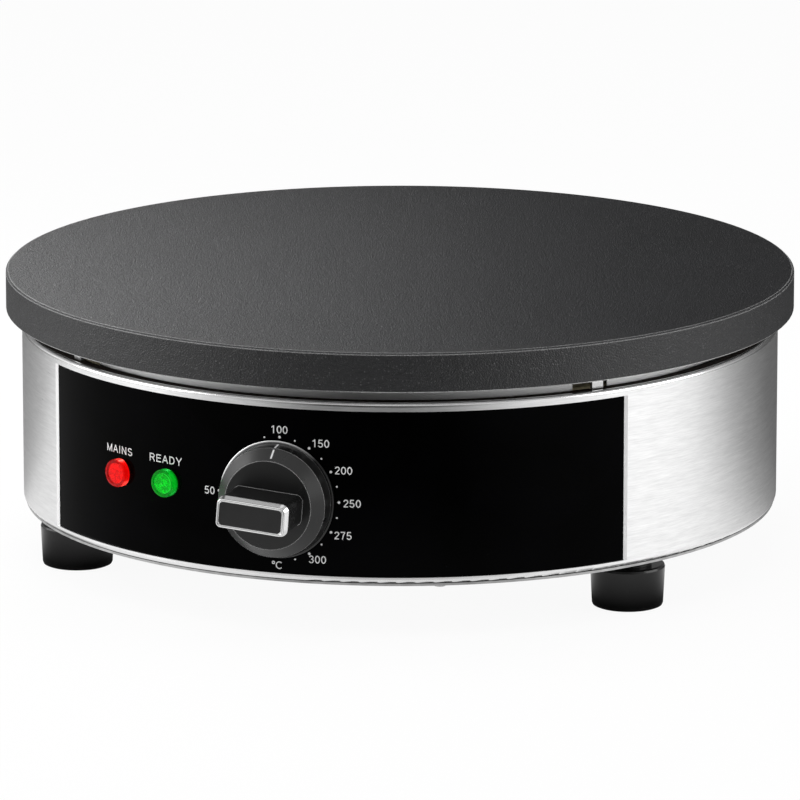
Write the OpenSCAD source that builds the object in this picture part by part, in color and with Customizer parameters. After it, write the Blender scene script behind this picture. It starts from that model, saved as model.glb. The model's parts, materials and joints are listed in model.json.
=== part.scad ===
// Round electric crepe maker. A cast plate stands on four necked legs over a
// stainless drum. Three tubular rings heat it from below, and a capillary
// thermostat with a turning knob sits behind the drum's curved control panel.
//
// Frame: +Z up, floor at z = 0, control panel toward -Y, origin under the
// centre of the whole footprint. Millimetres. Azimuths are in degrees from
// -Y, positive toward +X.

/* [Cooking plate] */
// Diameter of the cast cooking plate
plate_d = 400; // [385:1:430]
// Height of the plate at its edge
plate_h = 19.8; // [18:0.1:24]
// Thickness of the plate over the heating rings
plate_web = 12; // [9:0.5:14]
// Width of the solid rim round the underside recess
plate_rim_w = 16; // [12:0.5:17]
// Chamfer round the top edge
plate_edge = 1; // [0.5:0.1:2]
// Bare chamfer round the lower edge
plate_low_edge = 0.6; // [0.3:0.1:1]

/* [Drum] */
// How far the plate overhangs the drum
overhang = 8; // [5:0.5:12]
// Height of the drum
drum_h = 90.5; // [88:0.5:110]
// Air gap between the drum's rim and the plate
rim_gap = 7; // [5:0.5:10]
// Sheet thickness of the drum
drum_sheet = 1; // [0.8:0.1:1.2]
// Outer bend radius of the drum's two edges
drum_bend = 2; // [1.6:0.1:2.6]
// Width of the polished turned-in rim
rim_w = 7.4; // [7:0.1:9]
// Width of the turned-in flange at the bottom
flange_w = 32; // [30:1:36]

/* [Control panel] */
// Half of the window's angle round the drum
window_half = 48.95; // [44:0.05:50]
// Width of the bevel at the window's two sides
window_bevel = 1.6; // [1:0.1:2.4]
// Steel strip over the window
strip_top = 4.3; // [4:0.1:8]
// Steel strip under the window
strip_low = 3.1; // [3:0.1:8]
// Thickness of the gloss panel
panel_t = 2; // [1.5:0.1:2.4]
// Lap of the panel behind each side of the window
panel_lap = 18.6; // [17:0.1:20]
// Reach of the panel's upper and lower edge into the drum's bends
panel_reach = 0.3; // [0:0.05:0.4]
// Diameter of the weld studs that hold the panel
panel_stud_d = 4; // [3:0.5:5]
// Length of those studs
panel_stud_l = 10; // [9:0.5:14]
// Distance of those studs from the window's edge
panel_stud_in = 11.3; // [10:0.1:12.5]

/* [Dial knob] */
// Azimuth of the knob's axis
knob_az = -4.4; // [-8:0.1:4]
// Height of the knob's axis over the drum's lower edge
knob_up = 40.2; // [36:0.1:50]
// Turn of the knob at rest, clockwise from upright
rest_turn = 4.6; // [-80:0.1:140]
// Diameter of the bezel ring on the panel
bezel_d = 57.8; // [56:0.1:62]
// How far the bezel stands out of the panel
bezel_proud = 1.05; // [0.9:0.05:3]
// Width of the bezel's raised ring
bezel_ring_w = 2.8; // [2:0.1:4]
// Running gap between the bezel and the knob
knob_gap = 0.4; // [0.3:0.05:1]
// Diameter of the skirt at the back
skirt_d = 56.4; // [54:0.1:58]
// Diameter of the skirt where its bevel starts
skirt_front_d = 54.9; // [50:0.1:56]
// Depth of the skirt
skirt_h = 6.9; // [5:0.1:9]
// Diameter of the flat face
face_d = 44.4; // [42:0.1:48]
// Depth of the bevel
bevel_h = 6; // [4:0.1:8]
// Wall of the hollow knob
knob_wall = 2; // [1.6:0.1:2.6]
// Length of the grip across the knob
grip_l = 35.6; // [30:0.1:37]
// Thickness of the grip
grip_t = 15.3; // [12:0.1:15.5]
// Corner radius of the grip
grip_r = 3.4; // [2:0.1:5]
// Height of the grip over the face
grip_h = 20.7; // [16:0.1:26]
// Overhang of the chrome frame past the grip
trim_over = 0.5; // [0.3:0.1:1]
// Edge height of the chrome frame
trim_lip = 1; // [0.6:0.1:1.6]
// Rise of the chrome frame's bevel
trim_rise = 3.9; // [2:0.1:5]
// Border between the frame's outline and the insert
trim_border = 2.3; // [2:0.1:3.5]
// Width of the frame's flat front land
trim_land = 0.4; // [0.2:0.1:0.8]
// How far the insert lies below the frame's front
insert_sink = 0.3; // [0.1:0.1:0.8]

/* [Lamps] */
// Azimuth of the power lamp
power_lamp_az = -32.4; // [-36:0.1:-30]
// Azimuth of the heat lamp
heat_lamp_az = -22.95; // [-25:0.05:-20]
// Height of the lamps over the drum's lower edge
lamp_up = 41.5; // [36:0.5:50]
// Diameter of a lens
lens_d = 13.9; // [13:0.1:16]
// How far a lens stands out of the panel
lens_h = 4.3; // [3:0.1:6]
// Diameter of a lamp body
lamp_d = 10; // [8:0.1:11]
// Length of a lamp body behind the panel
lamp_l = 24; // [18:1:30]

/* [Heating] */
// Diameter of the heating tubes
tube_d = 8; // [6.5:0.1:8.5]
// Distance of the outer ring's middle line in from the plate's edge
ring_edge = 55; // [53:0.5:60]
// Distance between the two cold ends of a ring
ring_gap = 24; // [20:1:30]
// Diameter of a cold end
cold_end_d = 8.9; // [8.7:0.1:10]
// Diameter of a terminal pin
pin_d = 4; // [3:0.5:5]
// Diameter of the studs under the plate
stud_d = 6; // [5:0.5:6]
// Width of a pressing bar
bar_w = 16; // [15:0.5:20]
// Height of a pressing bar
bar_h = 6.5; // [6:0.5:8]
// Sheet thickness of a pressing bar
bar_sheet = 1.5; // [1:0.1:2]
// Width of a link bar
link_w = 9; // [8:0.5:12]
// Thickness of a link bar
link_t = 1.5; // [1:0.1:2]

/* [Heater pan] */
// Gap between the pan and the plate's rim
pan_gap = 4; // [3:0.5:6]
// Clearance between the thermostat and the pan over it
thermo_clear = 6; // [4:0.5:12]
// Sheet thickness of the pan
pan_sheet = 0.8; // [0.6:0.1:1.2]
// Width of the notches that pass the legs
pan_notch_w = 20; // [18:0.5:24]
// Depth of those notches
pan_notch_h = 20; // [17:0.5:21]

/* [Plate legs] */
// Angle of the front legs in from the window's sides; the rear legs mirror them
leg_lag = 3.95; // [3:0.05:6]
// Distance of a leg's face in from the drum's side
leg_in = 5; // [4.8:0.1:5.4]
// Distance of the leg screws in from the drum's side
leg_screw_in = 18; // [17:0.5:19]
// Width of a leg
leg_w = 16; // [14:0.5:18]
// Width of the narrow neck that keeps heat from the drum
leg_neck_w = 6.2; // [5:0.1:9]
// Sheet thickness of a leg
leg_sheet = 2; // [1.6:0.1:2.4]
// Diameter of the leg screws
leg_screw_d = 5; // [4:0.5:6]
// Width of the cast lugs the legs screw to
lug_w = 16; // [14:0.5:17]

/* [Base and feet] */
// Height of the base plate over the floor
stand_h = 26; // [22:0.5:35]
// Thickness of the base plate
base_t = 1.2; // [1:0.1:2]
// Inset of the base plate's edge
base_inset = 1; // [0.4:0.1:2]
// Rise of the pressed centre of the base plate
dome_h = 3; // [2:0.5:5]
// Width of a vent slot
vent_w = 5; // [3:0.5:7]
// Rows of vent slots
vent_rows = 4; // [2:1:4]
// Distance of the feet's axes in from the drum's side
foot_in = 23; // [21:0.5:26]
// Half of the angle between the two front feet
foot_half = 58.4; // [57:0.1:62]
// Turn of the three feet together
foot_turn = -2.6; // [-4:0.1:2]
// Diameter of a foot at its top
foot_d = 37.2; // [34:0.1:40]
// Diameter of a foot at the floor
foot_low_d = 35.4; // [30:0.1:36]
// Height of a foot's neck
foot_neck_h = 4.8; // [4:0.1:8]
// Diameter of a foot's neck
foot_neck_d = 24; // [18:0.5:26]
// Rounding of a foot's edges
foot_edge = 1.4; // [0.8:0.1:2]
// Height of the screw seat inside a foot
foot_seat = 11; // [8:0.5:14]
// Diameter of the foot screws
foot_screw_d = 5; // [4:0.5:6]
// Diameter of the base screws
base_screw_d = 4; // [3:0.5:5]

/* [Thermostat] */
// Diameter of the thermostat shaft
shaft_d = 6; // [5:0.1:6.4]
// Depth of the flat on the shaft
shaft_flat = 1.4; // [1:0.1:2]
// Diameter of the thermostat's bush
bush_d = 9.6; // [9:0.1:10]
// Width of the thermostat
thermo_w = 36; // [34:0.5:38]
// Height of the thermostat
thermo_h = 44; // [38:0.5:46]
// Depth of the thermostat
thermo_depth = 22; // [18:0.5:26]
// Distance between the thermostat's two screws
thermo_screw_span = 28; // [26:0.5:29]
// Diameter of the thermostat's screws
thermo_screw_d = 4; // [3:0.5:4]
// Wall of the saddle at its middle
saddle_t = 3.8; // [3.4:0.1:5]
// Diameter of the sensing bulb
bulb_d = 6; // [5:0.1:7]
// Distance of the sensing bulb's ends from the inner ring
bulb_room = 24; // [20:0.5:30]
// Diameter of the capillary tube
capillary_d = 2; // [1.6:0.1:2.4]

/* [Electrical] */
// Height of the cable gland over the drum's lower edge
gland_up = 19; // [17:0.5:40]
// Diameter of the gland's thread
gland_d = 16; // [16:0.5:18]
// Diameter of the cord hole in the gland's seal
cord_d = 8.4; // [7:0.1:9]
// Length of the gland outside the drum
gland_out = 22; // [20:0.5:26]
// Height of the terminal block
block_h = 16; // [12:0.5:20]
// Diameter of the leads
lead_d = 3; // [2:0.1:3.5]

/* [Fits] */
// Clearance between pieces that seat on each other
seat = 0.15; // [0.1:0.05:0.2]
// Radial clearance of a screw in its thread
thread_fit = 0.05; // [0.02:0.01:0.08]
// Radial clearance of a screw in a through hole
hole_fit = 0.3; // [0.2:0.05:0.5]
// Radial running clearance of the shaft in its bush
run_fit = 0.08; // [0.03:0.01:0.1]

/* [Hidden] */
$fn = 64;

// ---- heights ----
z_base = stand_h;
z_drum = z_base + base_t;
z_floor = z_drum + drum_sheet;
z_rim = z_drum + drum_h;
z_plate = z_rim + rim_gap;
z_web = z_plate + plate_h - plate_web;
z_top = z_plate + plate_h;
z_dome = z_drum + dome_h;
z_window0 = z_drum + strip_low;
z_window1 = z_rim - strip_top;
z_panel0 = z_drum + drum_bend - panel_reach;
z_panel1 = z_rim - drum_bend + panel_reach;
z_knob = z_drum + knob_up;
z_lamp = z_drum + lamp_up;
z_gland = z_drum + gland_up;

// ---- radii ----
plate_r = plate_d / 2;
recess_r = plate_r - plate_rim_w;
drum_r = plate_r - overhang;
drum_in_r = drum_r - drum_sheet;
rim_in_r = drum_r - rim_w;
flange_in_r = drum_r - flange_w;
panel_r = drum_in_r - seat;
panel_in_r = panel_r - panel_t;
pan_r = recess_r - pan_gap;
leg_r = drum_r - leg_in;
leg_screw_r = drum_r - leg_screw_in;
foot_r = drum_r - foot_in;
base_r = drum_r - base_inset;
base_screw_in = 9;
base_screw_r = drum_r - base_screw_in;
bevel_edge = 0.15;

// ---- angles round the drum ----
function arc(length, radius) = length / radius * 180 / PI;
panel_half = window_half + arc(panel_lap, panel_r);
panel_stud_az = window_half + arc(panel_stud_in, panel_r);
leg_az = window_half - leg_lag;
leg_azs = [-leg_az, leg_az, 180 + leg_az, 180 - leg_az];
foot_azs = [foot_turn - foot_half, foot_turn + foot_half, foot_turn + 180];
base_screw_azs = [20, 110, 200, 290];
bar_azs = [30, 150, 270];
panel_stud_up = 20;
panel_stud_zs = [z_window0 + panel_stud_up, z_window1 - panel_stud_up];

// ---- fasteners ----
nut_tall = 0.8;
nut_flats = 1.7;
stud_nut_h = nut_tall * stud_d;
pin_nut_h = nut_tall * pin_d;
panel_nut_h = nut_tall * panel_stud_d;
stud_tail = 3;
small_d = 3;
clip_screw_d = 4;

// ---- heating ----
tube_r = tube_d / 2;
z_ring = z_web - seat - tube_r;
z_bar = z_ring - tube_r - seat;
ring_shares = [0.38, 0.69, 1];
ring_rs = [for (share = ring_shares) (plate_r - ring_edge) * share];
stud_rs = [(ring_rs[0] + ring_rs[1]) / 2, (ring_rs[1] + ring_rs[2]) / 2];
bar_end = tube_r + 4;
bar_in_r = ring_rs[0] - bar_end;
bar_out_r = ring_rs[2] + bar_end;
boss_h = 3;
boss_r = stud_d / 2 + 4;
stud_bite = 6;
z_pan = z_knob + thermo_h / 2 + thermo_clear;
pan_h = z_web - seat - z_pan;
z_pan_floor = z_pan + pan_sheet;
wool_gap = 1;
z_wool = z_bar - bar_h - wool_gap;
link_drop = 8;
cold_drop = 5;
z_link = z_pan - link_drop;
z_pin = z_link - link_t - pin_nut_h - stud_tail;

// ---- knob, measured out from the drum's axis ----
bezel_floor = 0.6;
k_bezel = panel_r + bezel_proud;
k_floor = panel_r + bezel_floor;
k_back = k_bezel + knob_gap;
k_skirt = k_back + skirt_h;
k_face = k_skirt + bevel_h;
k_grip = k_face + grip_h;
k_lip = k_grip + trim_lip;
k_front = k_lip + trim_rise;
trim_l = grip_l + 2 * trim_over;
trim_t = grip_t + 2 * trim_over;
trim_r = grip_r + trim_over;
insert_l = trim_l - 2 * trim_border;
insert_t = trim_t - 2 * trim_border;
insert_r = 2;
front_l = insert_l + 2 * trim_land;
front_t = insert_t + 2 * trim_land;
front_r = insert_r + trim_land;
hub_wall = 3;
hub_gap = 2.6;
shaft_past = 2;
hub_r = shaft_d / 2 + hub_wall;
k_hub = k_back + hub_gap;
k_shaft_end = k_face + shaft_past;
k_saddle = panel_in_r - saddle_t;
k_thermo = k_saddle - seat;
k_thermo_back = k_thermo - thermo_depth;
bush_past = 1.4;
k_bush_end = k_floor + bush_past;
thermo_bite = 7;

// ---- sensing bulb, hung under the plate's centre, and its capillary ----
bulb_l = 2 * (ring_rs[0] - tube_r - bulb_room);
bulb_z = z_web - seat - bulb_d / 2;
bulb_neck = 4;
bulb_bend = 12;
tail = bulb_l / 2 + bulb_neck + bulb_bend;
clip_t = 1.2;
clip_w = 12;
clip_ear = bulb_d / 2 + 9;
clip_hole = bulb_d / 2 + 5.5;
clip_bite = 6;
capillary_top = 8;
capillary_drop = 9;
capillary_run = 34;
capillary_in = 20;
z_capillary = z_knob + thermo_h / 2 - capillary_top;

// ---- rear: terminal block, earth stud, gland ----
block_l = 50;
block_w = 20;
block_x = -26;
block_y = 106;
pole_pitch = 13;
pole_up = block_h * 0.5;
block_screw_x = 21.6;
earth_x = 30;
earth_r = 2.5;
earth_l = 16;
gland_flange = 5;
locknut_flats = 1.375;
locknut_tall = 0.28;
gland_in = 12;
gland_seal_l = 12;
gland_cap = 4;
gland_wall = 1.6;
gland_thread_out = gland_out - gland_cap;
seal_r = gland_d / 2 - gland_wall;

// ---- thermal cut-out under the pan ----
cutout_x = -72;
cutout_y = -36;
cutout_r = 12;
cutout_h = 9;
cutout_ear = 17;
cutout_plate_t = 1.2;
cutout_blade = 7;

// ---- footprint: its centre carries the origin ----
front_swing = (front_l / 2 - front_r) * abs(cos(rest_turn))
    + (front_t / 2 - front_r) * abs(sin(rest_turn)) + front_r;
front_reach = k_front * cos(knob_az) + front_swing * abs(sin(knob_az));
rear_reach = drum_r + gland_out;
axis_y = (front_reach - rear_reach) / 2;

// ---- helpers ----
// Puts a piece drawn round the drum's axis into the part's frame.
module placed() translate([0, axis_y, 0]) children();

// Upright frame at an azimuth and radius: local -Y points outward.
module at(az, r, z = 0) rotate([0, 0, az]) translate([0, -r, z]) children();

// Radial frame: local +Z points out of the drum, local +Y points up.
module radial(az, z) rotate([0, 0, az]) translate([0, 0, z]) rotate([90, 0, 0]) children();

// Knob frame: radial, turned clockwise as the knob is at rest.
module knob_frame() radial(knob_az, z_knob) rotate([0, 0, -rest_turn]) children();

function polar(r, az) = [r * sin(az), -r * cos(az)];

// Quarter of a bent sheet, in the first quadrant.
module bend2d(r, t) intersection() {
    difference() {
        circle(r = r);
        circle(r = r - t);
    }
    square(r);
}

// Ring sector that opens round azimuth 0, under 60 degrees to each side.
module sector2d(r0, r1, half) intersection() {
    difference() {
        circle(r = r1);
        circle(r = r0);
    }
    polygon([[0, 0], polar(r1 * 2.2, half), polar(r1 * 2.2, -half)]);
}

// Rectangle with round corners.
module rounded2d(l, w, r) {
    square([l - 2 * r, w], center = true);
    square([l, w - 2 * r], center = true);
    for (x = [-1, 1], y = [-1, 1]) translate([x * (l / 2 - r), y * (w / 2 - r)]) circle(r = r);
}

// Nut for a thread of diameter d; its flats and height follow from d.
module hex_nut(d, flats = nut_flats, tall = nut_tall, fit = thread_fit) difference() {
    cylinder(r = d * flats / 2 / cos(30), h = d * tall, $fn = 6);
    translate([0, 0, -1]) cylinder(r = d / 2 + fit, h = d * tall + 2);
}

// Screw along +Z: the head's seat is z = 0, the shank runs up.
module pan_screw(d, l) {
    cylinder(r = d / 2, h = l);
    rotate_extrude() polygon([
        [0, -d * 0.5], [d * 0.7, -d * 0.5], [d * 0.9, -d * 0.2], [d * 0.9, 0], [0, 0]]);
}

// ---- swept tube for leads and the capillary ----
function unit(v) = v / norm(v);
function corner(a, b, c, reach, t) =
    let (p = b + unit(a - b) * reach, q = b + unit(c - b) * reach)
    (1 - t) * (1 - t) * p + 2 * t * (1 - t) * b + t * t * q;
function softened(p, reach) = concat(
    [p[0]],
    [for (i = [1:len(p) - 2], t = [0:0.25:1]) corner(p[i - 1], p[i], p[i + 1], reach, t)],
    [p[len(p) - 1]]);
function heading(p, i) = unit(p[min(i + 1, len(p) - 1)] - p[max(i - 1, 0)]);
tube_sides = 8;
tube_up = unit([0.31, 0.53, 0.79]);

module swept(points, d, reach = 8) {
    path = softened(points, reach);
    rings = [for (i = [0:len(path) - 1])
        let (h = heading(path, i), u = unit(cross(h, tube_up)), v = cross(h, u))
        for (k = [0:tube_sides - 1])
            path[i] + d / 2 * (cos(k * 360 / tube_sides) * u + sin(k * 360 / tube_sides) * v)];
    last = (len(path) - 1) * tube_sides;
    polyhedron(rings, concat(
        [[for (k = [0:tube_sides - 1]) k]],
        [for (i = [0:len(path) - 2], k = [0:tube_sides - 1], half = [0, 1])
            let (a = i * tube_sides + k, b = i * tube_sides + (k + 1) % tube_sides)
            half == 0 ? [a, a + tube_sides, b] : [b, a + tube_sides, b + tube_sides]],
        [[for (k = [tube_sides - 1:-1:0]) last + k]]));
}

// ---- cooking plate ----
module crepe_plate() placed() color("#2b2b2d") difference() {
    union() {
        rotate_extrude($fn = 180) polygon([
            [0, z_web], [recess_r, z_web], [recess_r, z_plate],
            [plate_r - plate_low_edge, z_plate], [plate_r, z_plate + plate_low_edge],
            [plate_r, z_top - plate_edge], [plate_r - plate_edge, z_top], [0, z_top]]);
        for (az = bar_azs, r = stud_rs)
            at(az, r, z_web - boss_h) cylinder(r = boss_r, h = boss_h + 1);
        for (az = leg_azs) intersection() {
            at(az, 0, z_plate) translate([-lug_w / 2, -plate_r, 0])
                cube([lug_w, plate_r - leg_screw_r + lug_land, z_web - z_plate + 1]);
            cylinder(r = recess_r + 1, h = z_top);
        }
    }
    for (az = bar_azs, r = stud_rs)
        at(az, r, z_web - boss_h - 1) cylinder(r = stud_d / 2 + thread_fit, h = boss_h + 1 + stud_bite);
    for (az = leg_azs)
        at(az, leg_screw_r, z_plate - 1) cylinder(r = leg_screw_d / 2 + thread_fit, h = leg_bite + 2);
    for (x = [-clip_hole, clip_hole])
        translate([x, 0, z_web - 1]) cylinder(r = clip_screw_d / 2 + thread_fit, h = clip_bite + 1);
}

// ---- heating rings and what presses them on ----
module heater_ring(r) placed() color("#5d5a55") {
    open = asin(ring_gap / 2 / r);
    translate([0, 0, z_ring]) rotate([0, 0, 90 + open])
        rotate_extrude(angle = 360 - 2 * open, $fn = 120) translate([r, 0]) circle(r = tube_r, $fn = 24);
    for (s = [-1, 1]) at(180 + s * open, r, z_pin) {
        translate([0, 0, z_pan - cold_drop - z_pin])
            cylinder(r = cold_end_d / 2, h = z_ring + tube_r / 2 - z_pan + cold_drop);
        cylinder(r = pin_d / 2, h = z_pan - cold_drop * 0.8 - z_pin);
    }
}
module heater_inner() heater_ring(ring_rs[0]);
module heater_middle() heater_ring(ring_rs[1]);
module heater_outer() heater_ring(ring_rs[2]);

module each_stud(z) for (az = bar_azs, r = stud_rs) at(az, r, z) children();

module heater_studs() placed() color("#b9bcc0") each_stud(z_pan - stud_nut_h - stud_tail)
    cylinder(r = stud_d / 2, h = z_web - boss_h + stud_bite - z_pan + stud_nut_h + stud_tail);

module heater_bars() placed() color("#a9acb0") for (az = bar_azs) difference() {
    at(az, 0, z_bar - bar_h) difference() {
        translate([-bar_w / 2, -bar_out_r, 0]) cube([bar_w, bar_out_r - bar_in_r, bar_h]);
        translate([bar_sheet - bar_w / 2, -bar_out_r - 1, -1])
            cube([bar_w - 2 * bar_sheet, bar_out_r - bar_in_r + 2, bar_h - bar_sheet + 1]);
    }
    for (r = stud_rs) at(az, r, z_bar - bar_h - 1) cylinder(r = stud_d / 2 + hole_fit, h = bar_h + 2);
}

module heater_nuts() placed() color("#c8cacc") each_stud(z_bar - bar_sheet - stud_nut_h)
    hex_nut(stud_d);

module pan_nuts() placed() color("#c8cacc") each_stud(z_pan - stud_nut_h)
    hex_nut(stud_d);

// Cold ends of all rings, as [x, y] round the drum's axis.
function cold_end(r, s) = polar(r, 180 + s * asin(ring_gap / 2 / r));

module heater_links() placed() color("#b87333") for (s = [-1, 1]) difference() {
    translate([-s * ring_gap / 2 - link_w / 2, cold_end(ring_rs[0], s)[1] - link_w / 2, z_link - link_t])
        cube([link_w, cold_end(ring_rs[2], s)[1] - cold_end(ring_rs[0], s)[1] + link_w, link_t]);
    for (r = ring_rs) translate([cold_end(r, s)[0], cold_end(r, s)[1], z_link - link_t - 1])
        cylinder(r = pin_d / 2 + hole_fit, h = link_t + 2);
}

module heater_link_nuts() placed() color("#c8cacc") for (s = [-1, 1], r = ring_rs)
    translate([cold_end(r, s)[0], cold_end(r, s)[1], z_link - link_t - pin_nut_h])
        hex_nut(pin_d);

// Everything that passes the blanket and the pan's floor.
module pan_holes(z, h, slack) {
    each_stud(z) cylinder(r = stud_d / 2 + slack, h = h);
    for (s = [-1, 1], r = ring_rs)
        translate([cold_end(r, s)[0], cold_end(r, s)[1], z]) cylinder(r = cold_end_d / 2 + slack, h = h);
    translate([0, -tail, z]) cylinder(r = capillary_d / 2 + slack, h = h);
    for (x = [-1, 1]) translate([cutout_x + x * cutout_ear, cutout_y, z])
        cylinder(r = small_d / 2 + slack, h = h);
}

module insulation_blanket() placed() color("#d8cfae") difference() {
    translate([0, 0, z_pan_floor + seat])
        cylinder(r = pan_r - pan_sheet - drum_bend, h = z_wool - z_pan_floor - seat, $fn = 120);
    pan_holes(z_pan, pan_h, 1);
}

module heater_pan() placed() color("#c9ccd0") difference() {
    rotate_extrude($fn = 180) {
        translate([pan_r - pan_sheet, z_pan + drum_bend]) square([pan_sheet, pan_h - drum_bend]);
        translate([pan_r - drum_bend, z_pan + drum_bend]) mirror([0, 1]) bend2d(drum_bend, pan_sheet);
        translate([0, z_pan]) square([pan_r - drum_bend, pan_sheet]);
    }
    for (az = leg_azs) at(az, 0, z_web - pan_notch_h)
        translate([-pan_notch_w / 2, -pan_r - 5, 0]) cube([pan_notch_w, 20, pan_notch_h + 5]);
    pan_holes(z_pan - 1, pan_sheet + 2, hole_fit);
}

// ---- legs that carry the plate ----
lug_land = 8;
leg_bite = leg_screw_d * 1.8;
neck_drop = 3;
module plate_leg(az) placed() color("#d4d6d8") difference() {
    foot_end = leg_screw_r - lug_land;
    neck_z = z_rim - drum_sheet - neck_drop;
    screw_end = leg_screw_r + lug_land;
    at(az, 0) rotate([90, 0, 90]) linear_extrude(leg_w, center = true) {
        translate([-leg_r, z_floor + leg_sheet * 2])
            square([leg_sheet, z_plate - z_floor - leg_sheet * 4]);
        translate([-leg_r + leg_sheet * 2, z_floor]) square([leg_r - leg_sheet * 2 - foot_end, leg_sheet]);
        translate([-leg_r + leg_sheet * 2, z_plate - leg_sheet])
            square([leg_r - leg_sheet * 2 - foot_end, leg_sheet]);
        translate([-leg_r + leg_sheet * 2, z_plate - leg_sheet * 2])
            mirror([1, 0]) bend2d(leg_sheet * 2, leg_sheet);
        translate([-leg_r + leg_sheet * 2, z_floor + leg_sheet * 2])
            mirror([1, 0]) mirror([0, 1]) bend2d(leg_sheet * 2, leg_sheet);
    }
    for (s = [-1, 1]) at(az, 0, neck_z)
        translate([s * (leg_neck_w / 2 + leg_w / 2) - leg_w / 2, -leg_r - 1, 0])
            cube([leg_w, leg_r + 1 - screw_end, z_plate - neck_z + 1]);
    for (z = [z_floor - 1, z_plate - leg_sheet - 1]) at(az, leg_screw_r, z)
        cylinder(r = leg_screw_d / 2 + hole_fit, h = leg_sheet + 2);
}
module leg_front_left() plate_leg(leg_azs[0]);
module leg_front_right() plate_leg(leg_azs[1]);
module leg_rear_left() plate_leg(leg_azs[2]);
module leg_rear_right() plate_leg(leg_azs[3]);

module leg_top_screws() placed() color("#c8cacc") for (az = leg_azs)
    at(az, leg_screw_r, z_plate - leg_sheet) pan_screw(leg_screw_d, leg_sheet + leg_bite);

leg_stack = base_t + drum_sheet + leg_sheet;
module leg_base_screws() placed() color("#c8cacc") for (az = leg_azs)
    at(az, leg_screw_r, z_base) pan_screw(leg_screw_d, leg_stack + leg_screw_d);

module leg_base_nuts() placed() color("#c8cacc") for (az = leg_azs)
    at(az, leg_screw_r, z_base + leg_stack) hex_nut(leg_screw_d);

// ---- temperature sensor ----
module thermostat_bulb() placed() color("#b87333") translate([0, 0, bulb_z]) rotate([90, 0, 0]) {
    cylinder(r = bulb_d / 2, h = bulb_l, center = true);
    cylinder(r = bulb_d / 3, h = bulb_l + 2 * bulb_neck, center = true);
}

// The capillary leaves the bulb, drops past the pan and enters the thermostat's back.
module capillary_tube() placed() color("#b87333") {
    thermo_in = polar(k_thermo_back - seat, knob_az);
    swept([[0, -bulb_l / 2 - bulb_neck - seat, bulb_z], [0, -tail, bulb_z],
        [0, -tail, z_pan - capillary_drop],
        [0, thermo_in[1] + capillary_run, z_pan - capillary_drop],
        [thermo_in[0], thermo_in[1] + capillary_in, z_capillary],
        [thermo_in[0], thermo_in[1], z_capillary]], capillary_d, bulb_bend / 2);
}

module bulb_clip() placed() color("#c9ccd0") difference() {
    rotate([90, 0, 0]) linear_extrude(clip_w, center = true) difference() {
        union() {
            translate([0, bulb_z]) circle(r = bulb_d / 2 + seat + clip_t);
            translate([-clip_ear, z_web - seat - clip_t]) square([2 * clip_ear, clip_t]);
        }
        translate([0, bulb_z]) circle(r = bulb_d / 2 + seat);
        translate([-bulb_d / 2 - seat, bulb_z]) square([bulb_d + 2 * seat, bulb_d]);
        translate([-clip_ear, z_web - seat]) square([2 * clip_ear, bulb_d]);
    }
    for (x = [-clip_hole, clip_hole])
        translate([x, 0, z_web - 5]) cylinder(r = clip_screw_d / 2 + hole_fit, h = 6);
}

module bulb_clip_screws() placed() color("#c8cacc") for (x = [-clip_hole, clip_hole])
    translate([x, 0, z_web - seat - clip_t]) pan_screw(clip_screw_d, clip_t + clip_bite - 0.4);

// ---- drum ----
module drum_shell() rotate_extrude($fn = 180) {
    translate([drum_in_r, z_drum + drum_bend]) square([drum_sheet, drum_h - 2 * drum_bend]);
    translate([drum_r - drum_bend, z_rim - drum_bend]) bend2d(drum_bend, drum_sheet);
    translate([rim_in_r, z_rim - drum_sheet]) square([rim_w - drum_bend, drum_sheet]);
    translate([drum_r - drum_bend, z_drum + drum_bend]) mirror([0, 1]) bend2d(drum_bend, drum_sheet);
    translate([flange_in_r, z_drum]) square([flange_w - drum_bend, drum_sheet]);
}

// Plan of the wedges that bevel the window's two sides down to the panel.
module window_bevels() for (s = [-1, 1]) {
    low = polar(drum_in_r + bevel_edge, s * window_half);
    high = polar(drum_r, s * (window_half + arc(window_bevel, drum_r)));
    polygon([low - (high - low) / 2, high + (high - low) / 2,
        polar(drum_r + 3, s * (window_half - 1)), polar(drum_in_r, s * (window_half - 1))]);
}

module drum_body() placed() color("#c4c7ca") difference() {
    union() {
        drum_shell();
        for (s = [-1, 1], z = panel_stud_zs)
            radial(s * panel_stud_az, z) translate([0, 0, drum_in_r - panel_stud_l])
                cylinder(r = panel_stud_d / 2, h = panel_stud_l + drum_sheet / 2);
    }
    translate([0, 0, z_window0]) linear_extrude(z_window1 - z_window0, $fn = 180) {
        sector2d(drum_in_r - 2, drum_r + 2, window_half);
        window_bevels();
    }
    for (az = leg_azs) {
        at(az, 0, z_rim - drum_sheet - 1)
            translate([-leg_neck_w / 2 - hole_fit, -leg_r - hole_fit, 0])
                cube([leg_neck_w + 2 * hole_fit, 20, drum_sheet + 2]);
        at(az, leg_screw_r, z_drum - 1) cylinder(r = leg_screw_d / 2 + hole_fit, h = drum_sheet + 2);
    }
    for (az = foot_azs) at(az, foot_r, z_drum - 1)
        cylinder(r = foot_screw_d / 2 + hole_fit, h = drum_sheet + 2);
    for (az = base_screw_azs) at(az, base_screw_r, z_drum - 1)
        cylinder(r = base_screw_d / 2 + hole_fit, h = drum_sheet + 2);
    radial(180, z_gland) translate([0, 0, drum_r - 6]) cylinder(r = gland_d / 2 + hole_fit, h = 12);
}

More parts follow.
